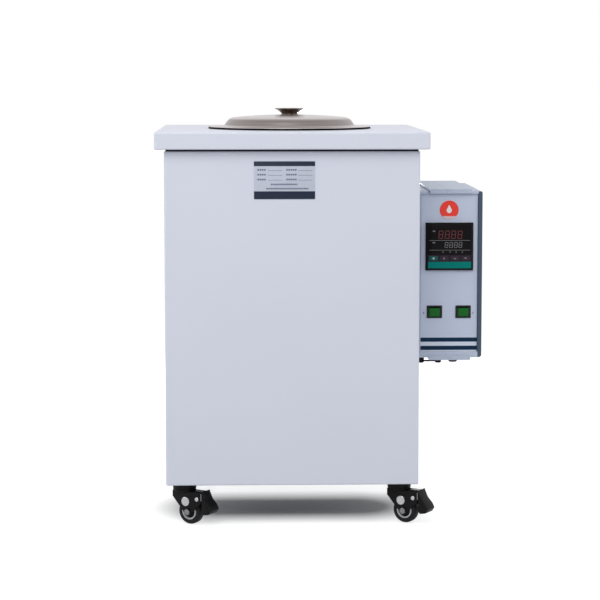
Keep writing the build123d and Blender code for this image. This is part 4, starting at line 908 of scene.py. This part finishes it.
def digit_row(name, finish, middle, height, width, tall, thick, pitch):
    """Four leaning digits, each of seven copies of the segment."""
    lean = Matrix.Shear("XY", 4, (0, 0))
    lean[0][2] = 0.08
    bars = [(0, z, width, 0) for z in (tall / 2, 0, -tall / 2)]
    posts = [(x, z, tall / 2, 90) for z in (tall / 4, -tall / 4) for x in (-width / 2, width / 2)]
    strokes = []
    for number in range(4):
        centre = Matrix.Translation((middle + (number - 1.5) * pitch, 0, height))
        for x, z, length, turn in (*bars, *posts):
            strokes.append(copied(segment, f"{name}_stroke", (
                centre @ lean @ Matrix.Translation((x, 0, z))
                @ Matrix.Rotation(math.radians(turn), 4, "Y")
                @ Matrix.Diagonal((length - thick * 0.25, 1, thick, 1)))))
    row = joined(name, strokes)
    row.data.materials.clear()
    row.data.materials.append(finish)
    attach(row, "cabinet")


digit_row("measured_digits", red_segment, 0.3220, 0.5523, 0.0078, 0.0150, 0.0014, 0.0128)
digit_row("target_digits", grey_segment, 0.3282, 0.5315, 0.0058, 0.0106, 0.0010, 0.0094)
dropped(segment)
marks = []
lines = [(0.2795, 0.5403, 0.3615, 0.5411), (0.2795, 0.5207, 0.3615, 0.5215)]
lamps = [(x, 0.5160, x + 0.0020, 0.5182) for x in (0.3063, 0.3205, 0.3326, 0.3452)]
pointers = [(0.2862, z, 0.2912, z + 0.0024) for z in (0.5582, 0.5351)]
for left, low, right, high in (*lines, *lamps, *pointers):
    corners = ((left, low), (right, low), (right, high), (left, high))
    marks.append(prism(f"mark_{len(marks)}", corners, print_face, window_face))
    closed_up(marks[-1], grey_segment)
marks = joined("window_marks", marks)
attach(marks, "cabinet")

# Keys: four moulded caps in a row, the first teal and the others dark mauve, each with a
# pale printed symbol: a square, a left arrow head, a down and an up arrow head.
key_teal = coat("key_teal", (0.002, 0.085, 0.075), (0.002, 0.070, 0.062), 60, 900, (0.4, 0.5),
                0.00004, shine=0.25)
key_mauve = coat("key_mauve", (0.026, 0.014, 0.026), (0.020, 0.010, 0.020), 60, 900,
                 (0.4, 0.5), 0.00004, shine=0.25)
key_print = coat("key_print", (0.50, 0.50, 0.55), (0.44, 0.44, 0.49), 90, 900, (0.4, 0.5),
                 0.00001)
square = ((-0.0018, -0.0018), (0.0018, -0.0018), (0.0018, 0.0018), (-0.0018, 0.0018))
chevron = ((-0.0022, -0.0010), (0, 0.0012), (0.0022, -0.0010), (0.0022, -0.0002), (0, 0.0020),
           (-0.0022, -0.0002))
symbols = {"set": (square, 45), "shift": (chevron, -90), "down": (chevron, 180),
           "up": (chevron, 0)}
cap_half, cap_face, cap_low, cap_high = 0.0085, -0.0748, 0.500, 0.509
for name, x in key_places.items():
    cap = block_between(f"key_{name}_cap", (x - cap_half, cap_face, cap_low),
                        (x + cap_half, -0.068, cap_high))
    eased(lambda p, d: abs(d.y) > 0.9, 0.0012, 3)
    eased(lambda p, d: near(p.y, cap_face) and abs(d.y) < 0.1, 0.0004, 3)
    closed_up(cap, key_teal if name == "set" else key_mauve)
    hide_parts(f"key_{name}")
    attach(cap, f"key_{name}_body")
    outline, turn = symbols[name]
    symbol = prism(f"key_{name}_symbol", outline, -0.0001, 0)
    closed_up(symbol, key_print)
    symbol.data.transform(Matrix.Translation((x, cap_face, (cap_low + cap_high) / 2))
                          @ Matrix.Rotation(math.radians(turn), 4, "Y"))
    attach(symbol, f"key_{name}_body")

# Rocker switches: black snap-in housings with a rim, and green translucent caps with a
# shallow ridge across the middle. Both are switched on, so both are pressed in at the foot.
black_plastic = coat("black_plastic", (0.005, 0.005, 0.006), (0.009, 0.009, 0.010), 50, 900,
                     (0.4, 0.55), 0.00006, shine=0.25)
green_plastic = coat("green_plastic", (0.0, 0.135, 0.012), (0.0, 0.105, 0.008), 40, 700,
                     (0.22, 0.32), 0.00003, shine=0.2)
switch_places, switch_height = {"pump": 0.29145, "heater": 0.34955}, 0.3953
rim_half, rim_face = 0.0156, -0.067
well_half, well_low, well_high = 0.01115, 0.38485, 0.40575
housings = []
for x in switch_places.values():
    housing = block_between(f"switch_rim_{len(housings)}", (x - rim_half, rim_face, 0.38255),
                            (x + rim_half, -0.0648, 0.40805))
    eased(lambda p, d: abs(d.y) > 0.9, 0.0012, 3)
    eased(lambda p, d: near(p.y, rim_face) and abs(d.y) < 0.1, 0.0009, 3)
    choose("FACE", lambda p, n: n.y > 0.99)
    bpy.ops.mesh.inset(thickness=0.0019)
    bpy.ops.mesh.extrude_region_move(TRANSFORM_OT_translate={"value": (0, 0.0215, 0)})
    sliced((x - well_half, x + well_half), (1, 0, 0))
    sliced((well_low, well_high), (0, 0, 1))
    pushed(lambda p, n: n.y < -0.99 and abs(p.x - x) < well_half
           and well_low < p.z < well_high, (0, 0.0195, 0))
    closed_up(housing, black_plastic)
    housings.append(housing)
housings = joined("switch_bodies", housings)
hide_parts("switch_housings")
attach(housings, "cabinet")
cap_half, cap_face, cap_rear, end_reach = 0.01075, -0.06933, -0.062, 0.009
for name, x in switch_places.items():
    cap = block_between(f"{name}_rocker_cap", (x - cap_half, cap_face, 0.38605),
                        (x + cap_half, cap_rear, 0.40455))
    sliced((switch_height,), (0, 0, 1))
    choose("VERT", lambda p, n: near(p.y, cap_face) and abs(p.z - switch_height) > end_reach)
    bpy.ops.transform.translate(value=(0, 0.0006, 0))
    choose("VERT", lambda p, n: near(p.y, cap_rear) and abs(p.z - switch_height) > end_reach)
    bpy.ops.transform.resize(value=(1, 1, 0.5), center_override=(x, cap_rear, switch_height))
    eased(lambda p, d: p.y < -0.0685 and not near(p.z, switch_height, 0.001), 0.0007, 3)
    closed_up(cap, green_plastic, 50)
    pivot = Matrix.Translation((0, -0.063, switch_height))
    cap.data.transform(pivot @ Matrix.Rotation(math.radians(9), 4, "X") @ pivot.inverted())
    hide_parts(f"{name}_rocker")
    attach(cap, f"{name}_rocker_body")

# Glands under the box: blank ribbed rubber bushes, two of them joined by a strap.
glands, rib_pitch = [], 0.0028
for x, radius, seat, low in ((0.268, 0.0075, 0.3027, 0.2865), (0.303, 0.0075, 0.2977, 0.2865),
                             (0.333, 0.011, 0.2977, 0.2885)):
    ribs = [(radius, seat, 0), (radius, seat - 0.003, 0.0004)]
    level = seat - 0.0036
    while level > low + rib_pitch:
        ribs += [(radius * 0.84, level, 0), (radius * 0.88, level - 0.0022, 0.0003),
                 (radius * 0.80, level - 0.0024, 0)]
        level -= rib_pitch
    gland = turned(f"gland_{len(glands)}", (
        (0, seat, 0), *ribs, (radius * 0.78, low, 0.001), (radius * 0.35, low, 0),
        (radius * 0.3, low + 0.001, 0), (0, low + 0.0012, 0)), 32)
    closed_up(gland, rubber)
    gland.data.transform(Matrix.Translation((x, -0.030, 0)))
    glands.append(gland)
strap = block_between("gland_strap", (0.268, -0.0365, 0.2893), (0.303, -0.0235, 0.2912))
eased(lambda p, d: abs(d.z) < 0.1, 0.0006, 2)
closed_up(strap, rubber)
glands = joined("rubber_glands", [*glands, strap])
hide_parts("cable_glands")
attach(glands, "cabinet")

# Castors: four black ones of the furniture kind, each with a ball race under the tray, a pressed
# fork that turns on it, a 50 mm wheel with a rubber tyre, and a brake pedal behind the wheel.
# Each piece is shaped once with the swivel axis on Z, then copied to the four corners. First
# the upper race, fixed to the tray with its threaded stem and its kingpin head.
castor_black = coat("castor_black", (0.002, 0.002, 0.002), (0.004, 0.004, 0.005), 45, 600,
                    (0.4, 0.55), 0.0001, shine=0.12)
chrome = coat("bright_chrome", (0.46, 0.46, 0.47), (0.36, 0.36, 0.37), 260, 900, (0.2, 0.35),
              0.00002, metallic=1.0)
dull_zinc = coat("dull_zinc", (0.24, 0.24, 0.25), (0.15, 0.15, 0.16), 200, 900, (0.3, 0.45),
                 0.00003, metallic=1.0)
thread = [(0.0050 - 0.0006 * (step % 2), 0.0828 + 0.00075 * step, 0) for step in range(28)]
race = turned("race", (
    (0, 0.0600, 0), (0.008, 0.0600, 0.0006), (0.008, 0.0622, 0.0004), (0.005, 0.0622, 0),
    (0.005, 0.0700, 0), (0.0222, 0.0700, 0), (0.0230, 0.0707, 0.0005), (0.0230, 0.0805, 0.001),
    (0.0222, 0.0813, 0.0004), (0.005, 0.0813, 0), (0.005, 0.0826, 0), *thread,
    (0.0040, 0.1040, 0), (0, 0.1040, 0)), 48)
closed_up(race, castor_black, 30)

# The fork: the hull of a crown block and a disc round the axle, with its front, rear and
# bottom left open, made a pressing 2.5 mm thick, over the lower race.
def hulled():
    """Makes the open shapes their hull, with each flat side one face."""
    bpy.ops.mesh.select_all(action="SELECT")
    bpy.ops.mesh.convex_hull()
    bpy.ops.mesh.select_all(action="SELECT")
    bpy.ops.mesh.dissolve_limited(angle_limit=math.radians(1))


axle_x, axle_z, crown_top, leg_face = 0.016, 0.025, 0.066, 0.013
across_axle = (math.radians(90), 0, 0)
fork = block_between("fork", (-0.020, -leg_face, 0.053), (0.044, leg_face, crown_top))
bpy.ops.mesh.primitive_cylinder_add(vertices=48, radius=0.0078, depth=2 * leg_face,
                                    location=(axle_x, 0, axle_z), rotation=across_axle)
bpy.ops.mesh.primitive_cube_add(size=1, location=(0.0465, 0, 0.0465),
                                scale=(0.001, 2 * leg_face, 0.001))
hulled()
removed(lambda p, n: abs(n.y) < 0.9 and n.z < 0.95)
eased(lambda p, d: near(p.z, crown_top) and abs(d.x) > 0.9 and abs(p.y) > 0.0129, 0.0028, 5)
holed(lambda p, n: n.z > 0.999 and near(p.z, crown_top), 0.0056, crown_top, 32)
closed_up(fork, castor_black)
treated(fork, "SOLIDIFY", thickness=0.0025, offset=-1, use_even_offset=True)
treated(fork, "BEVEL", width=0.0005, segments=2, limit_method="ANGLE",
        angle_limit=math.radians(50))
lower_race = turned("lower_race", (
    (0.0056, 0.0655, 0), (0.0205, 0.0655, 0), (0.0224, 0.0662, 0.0005), (0.0226, 0.0692, 0.0004),
    (0.0220, 0.0697, 0.0003), (0.0056, 0.0697, 0), (0.0056, 0.0655, 0)), 48)
closed_up(lower_race, castor_black, 30)
fork = joined("fork", [fork, lower_race])

# Its bright hardware: the axle with a hexagon head and nut, a domed disc and the head of the
# brake pin on each leg, and the spring plate between fork and pedal with its leaf over the crown.
pin_x, pin_z = 0.037, 0.052
hardware = []
for side, turn in ((-1, to_front), (1, to_rear)):
    nut = nut_ring("axle_nut", 0.0065, 0, 0.0040, 0.0025, dull_zinc)
    end = turned("axle_end", (
        (0, -0.014, 0), (0.0039, -0.014, 0), (0.0039, 0.0046, 0.0005), (0, 0.0048, 0)), 24)
    closed_up(end, dull_zinc)
    disc = turned("leg_disc", (
        (0, 0, 0), (0.0090, 0, 0), (0.0090, 0.0007, 0.0003), (0.0074, 0.0015, 0.0004),
        (0.0060, 0.0010, 0.001), (0, 0.0011, 0)), 48)
    closed_up(disc, chrome, 50)
    pin = turned("brake_pin", (
        (0, -0.0126, 0), (0.0024, -0.0126, 0), (0.0024, 0, 0), (0.0045, 0, 0),
        (0.0042, 0.0009, 0.0005), (0.0026, 0.0018, 0.0006), (0, 0.0018, 0)), 24)
    closed_up(pin, chrome, 50)
    for part, x, z in ((nut, axle_x, axle_z), (end, axle_x, axle_z), (disc, 0.0104, 0.045),
                       (pin, pin_x, pin_z)):
        part.data.transform(Matrix.Translation((x, side * leg_face, z)) @ turn)
        hardware.append(part)
leaf = prism("leaf", (
    (0.0276, 0.0662), (0.0440, 0.0662), (0.0471, 0.0642), (0.0473, 0.0500), (0.0480, 0.0500),
    (0.0479, 0.0647), (0.0444, 0.0670), (0.0276, 0.0670)), -0.0045, 0.0045)
closed_up(leaf, chrome, 50)
spring = prism("spring", (
    (0.0473, 0.0500), (0.0480, 0.0500), (0.0479, 0.0640), (0.0472, 0.0640)), -0.0138, 0.0138)
closed_up(spring, chrome, 50)
hardware = joined("hardware", [*hardware, leaf, spring])

# The wheel: a rounded rubber tyre on a black core, with a pale ring round its hub.
tyre = turned("tyre", (
    (0.0168, -0.0080, 0), (0.0185, -0.0090, 0.0008), (0.0250, -0.0090, 0.0045),
    (0.0250, 0.0090, 0.0045), (0.0185, 0.0090, 0.0008), (0.0168, 0.0080, 0),
    (0.0168, -0.0080, 0)), 64)
closed_up(tyre, rubber, 50)
core_half = ((0.0041, 0.0102, 0), (0.0070, 0.0102, 0.0006), (0.0074, 0.0070, 0.001),
             (0.0118, 0.0060, 0.0008), (0.0152, 0.0066, 0.0006), (0.0170, 0.0082, 0.0006))
core = turned("core", (
    *((radius, -half, rounding) for radius, half, rounding in core_half),
    *reversed(core_half), (0.0041, -0.0102, 0)), 64)
closed_up(core, castor_black, 50)
ring_grey = coat("ring_grey", (0.52, 0.53, 0.54), (0.46, 0.47, 0.48), 60, 700, (0.3, 0.45),
                 0.00005)
ring_outline = ((0.0126, 0.0055, 0), (0.0160, 0.0055, 0), (0.0159, 0.0090, 0.0003),
                (0.0148, 0.0097, 0.0003), (0.0133, 0.0092, 0.0003), (0.0126, 0.0055, 0))
rings = []
for side in (-1, 1):
    ring = turned("ring", [(radius, side * half, rounding)
                           for radius, half, rounding in ring_outline], 64)
    closed_up(ring, ring_grey)
    rings.append(ring)
rings = joined("rings", rings)
for part in (tyre, core, rings):
    part.data.transform(Matrix.Translation((axle_x, 0, axle_z)) @ to_rear)

# The pedal: a moulded foot behind the wheel with a waist and a curled toe, on a neck that
# turns on the brake pin between the legs.
foot_left, foot_low, foot_width, foot_tall, foot_half = 0.0485, 0.0226, 0.0225, 0.0464, 0.015
foot_shares = ((0, 1), (0.18, 0.81), (0.36, 0.63), (0.82, 0.4), (1, 0.22), (0.78, 0.05),
               (0.2, 0), (0.02, 0.16), (0.07, 0.46), (0, 0.68))
foot_outline = [(foot_left + foot_width * a, foot_low + foot_tall * b) for a, b in foot_shares]
foot = prism("foot", foot_outline, -foot_half, foot_half)
eased(lambda p, d: abs(d.y) > 0.9, 0.0016, 3)
eased(lambda p, d: near(abs(p.y), foot_half) and abs(d.y) < 0.1, 0.0010, 3)
closed_up(foot, castor_black, 40)
neck = block_between("neck", (0.0495, -0.010, 0.046), (0.0515, 0.010, 0.060))
bpy.ops.mesh.primitive_cylinder_add(vertices=32, radius=0.0065, depth=0.020,
                                    location=(pin_x, 0, pin_z), rotation=across_axle)
hulled()
closed_up(neck, castor_black, 40)
treated(neck, "BEVEL", width=0.0008, segments=2, limit_method="ANGLE",
        angle_limit=math.radians(50))
pedal = joined("pedal", [foot, neck])

corners = {"front_left": (-1, -1), "front_right": (1, -1), "rear_left": (-1, 1),
           "rear_right": (1, 1)}
swivel_reach, swivel_turn = 0.210, Matrix.Rotation(math.radians(-33), 4, "Z")
fixed = []
for corner, (x, y) in corners.items():
    place = Matrix.Translation((x * swivel_reach, y * swivel_reach, 0)) @ swivel_turn
    fixed.append(copied(race, f"race_{corner}", place))
    name = f"castor_{corner}"
    for pattern, piece_name, node, slot_name, rider in (
            (fork, "fork_pressing", "fork", "black_paint", "swivel"),
            (hardware, "hardware", "fasteners", "zinc", "swivel"),
            (tyre, "tyre", "wheel", "black_rubber", "wheel_body"),
            (core, "wheel_core", None, "black_plastic", "wheel_body"),
            (rings, "wheel_rings", None, "black_plastic", "wheel_body"),
            (pedal, "pedal_moulding", "pedal", "black_plastic", "pedal_body")):
        piece = copied(pattern, f"{name}_{piece_name}", place)
        if node:
            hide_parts(f"{name}_{node}")
        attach(piece, f"{name}_{rider}")
races = joined("castor_races", fixed)
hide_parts("castor_stems")
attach(races, "cabinet")
for pattern in (race, fork, hardware, tyre, core, rings, pedal):
    dropped(pattern)

# Studio: a pale floor, lifted to white for the camera except in a patch under the cabinet, where
# the lift is left out as a painted shadow that deepens the real one; a white surround that metal
# sees greyer overhead, as a ceiling would be, one soft light above, one dim one on each side and a
# low one behind. The camera has the photograph's height and angle, with the small downward shift
# that keeps the cabinet's sides nearly upright.
def seen_or_mirrored(tree):
    """One for the rays that show a thing to the camera, straight, mirrored or through glass."""
    seen = tree.nodes.new("ShaderNodeLightPath").outputs
    return either(tree, seen["Is Camera Ray"],
                  either(tree, seen["Is Glossy Ray"], seen["Is Transmission Ray"]))


floor_paint, tree, shader = finish_named("studio_floor", (0.44, 0.44, 0.44), 0.9, shine=0.1)
across, along, _ = axes_of(tree)
# Painted shadow: the lift fades out in a capsule under the front of the cabinet, darker than the
# real shadow alone.
painted_shadow_half, painted_shadow_forward, painted_shadow_end, white_start, lift = 0.135, 0.08, 0.055, 0.150, 0.72
beside = arithmetic(tree, "SUBTRACT", arithmetic(tree, "ABSOLUTE", across), painted_shadow_half)
reach = length_of(tree, arithmetic(tree, "MAXIMUM", beside, 0),
                  arithmetic(tree, "ADD", along, painted_shadow_forward))
shader.inputs["Emission Color"].default_value = (1, 1, 1, 1)
fed(tree, shader.inputs["Emission Strength"],
    both(tree, seen_or_mirrored(tree), ranged(tree, reach, painted_shadow_end, white_start, 0.0, lift)))
bpy.ops.object.select_all(action="DESELECT")
bpy.ops.mesh.primitive_plane_add(size=1, location=(0, 8, 0))
floor = opened("studio_floor")
bpy.ops.transform.resize(value=(40, 30, 1))
bpy.ops.transform.translate(value=(0, 0, -0.0003))
closed_up(floor, floor_paint)
floor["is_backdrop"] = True

world = bpy.data.worlds.new("studio")
bpy.context.scene.world = world
world.use_nodes = True
tree = world.node_tree
sky = tree.nodes["Background"]
_, _, height = axes_of(tree, "Generated")
ceiling_start, ceiling_full, dimmed = 0.5, 0.9, 0.64
overhead = both(tree, node_result(tree, "LightPath", "Is Glossy Ray"),
                ranged(tree, height, ceiling_start, ceiling_full))
fed(tree, sky.inputs["Color"], painted(tree, overhead, (1.0, 1.0, 1.0), (0.74, 0.71, 0.69)))
fed(tree, sky.inputs["Strength"],
    arithmetic(tree, "MULTIPLY_ADD", seen_or_mirrored(tree), 1 - dimmed, dimmed))

for name, place, aim, size, power in (
        ("key", (-0.5, -2.5, 2.6), (0, 0, 0.55), 2.4, 47),
        ("left_fill", (-2.6, -0.6, 1.4), (0, 0, 0.4), 1.6, 12),
        ("right_fill", (2.6, -0.8, 1.4), (0, 0, 0.4), 1.6, 12),
        ("rear", (0.1, 2.0, 0.60), (0, 0.1, 0.05), 0.24, 16)):
    bpy.ops.object.select_all(action="DESELECT")
    bpy.ops.object.light_add(type="AREA", location=place)
    lamp = bpy.context.active_object
    lamp.name = name
    lamp.data.shape = "DISK"
    lamp.data.size = size
    lamp.data.energy = power
    towards = Vector(aim) - Vector(place)
    lamp.rotation_euler = towards.to_track_quat("-Z", "Y").to_euler()

camera_pitch, camera_turn = -5.5, -1.631
bpy.ops.object.camera_add(
    location=(-0.0895, -3.900, 0.8768),
    rotation=(math.radians(90 + camera_pitch), 0, math.radians(camera_turn)))
camera = bpy.context.active_object
camera.name = "photo_camera"
camera.data.lens = 114.93
camera.data.shift_y = -0.0718
camera.data.sensor_width = 36
camera.data.dof.use_dof = False
scene = bpy.context.scene
scene.camera = camera
scene.view_settings.view_transform = "Standard"

low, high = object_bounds()
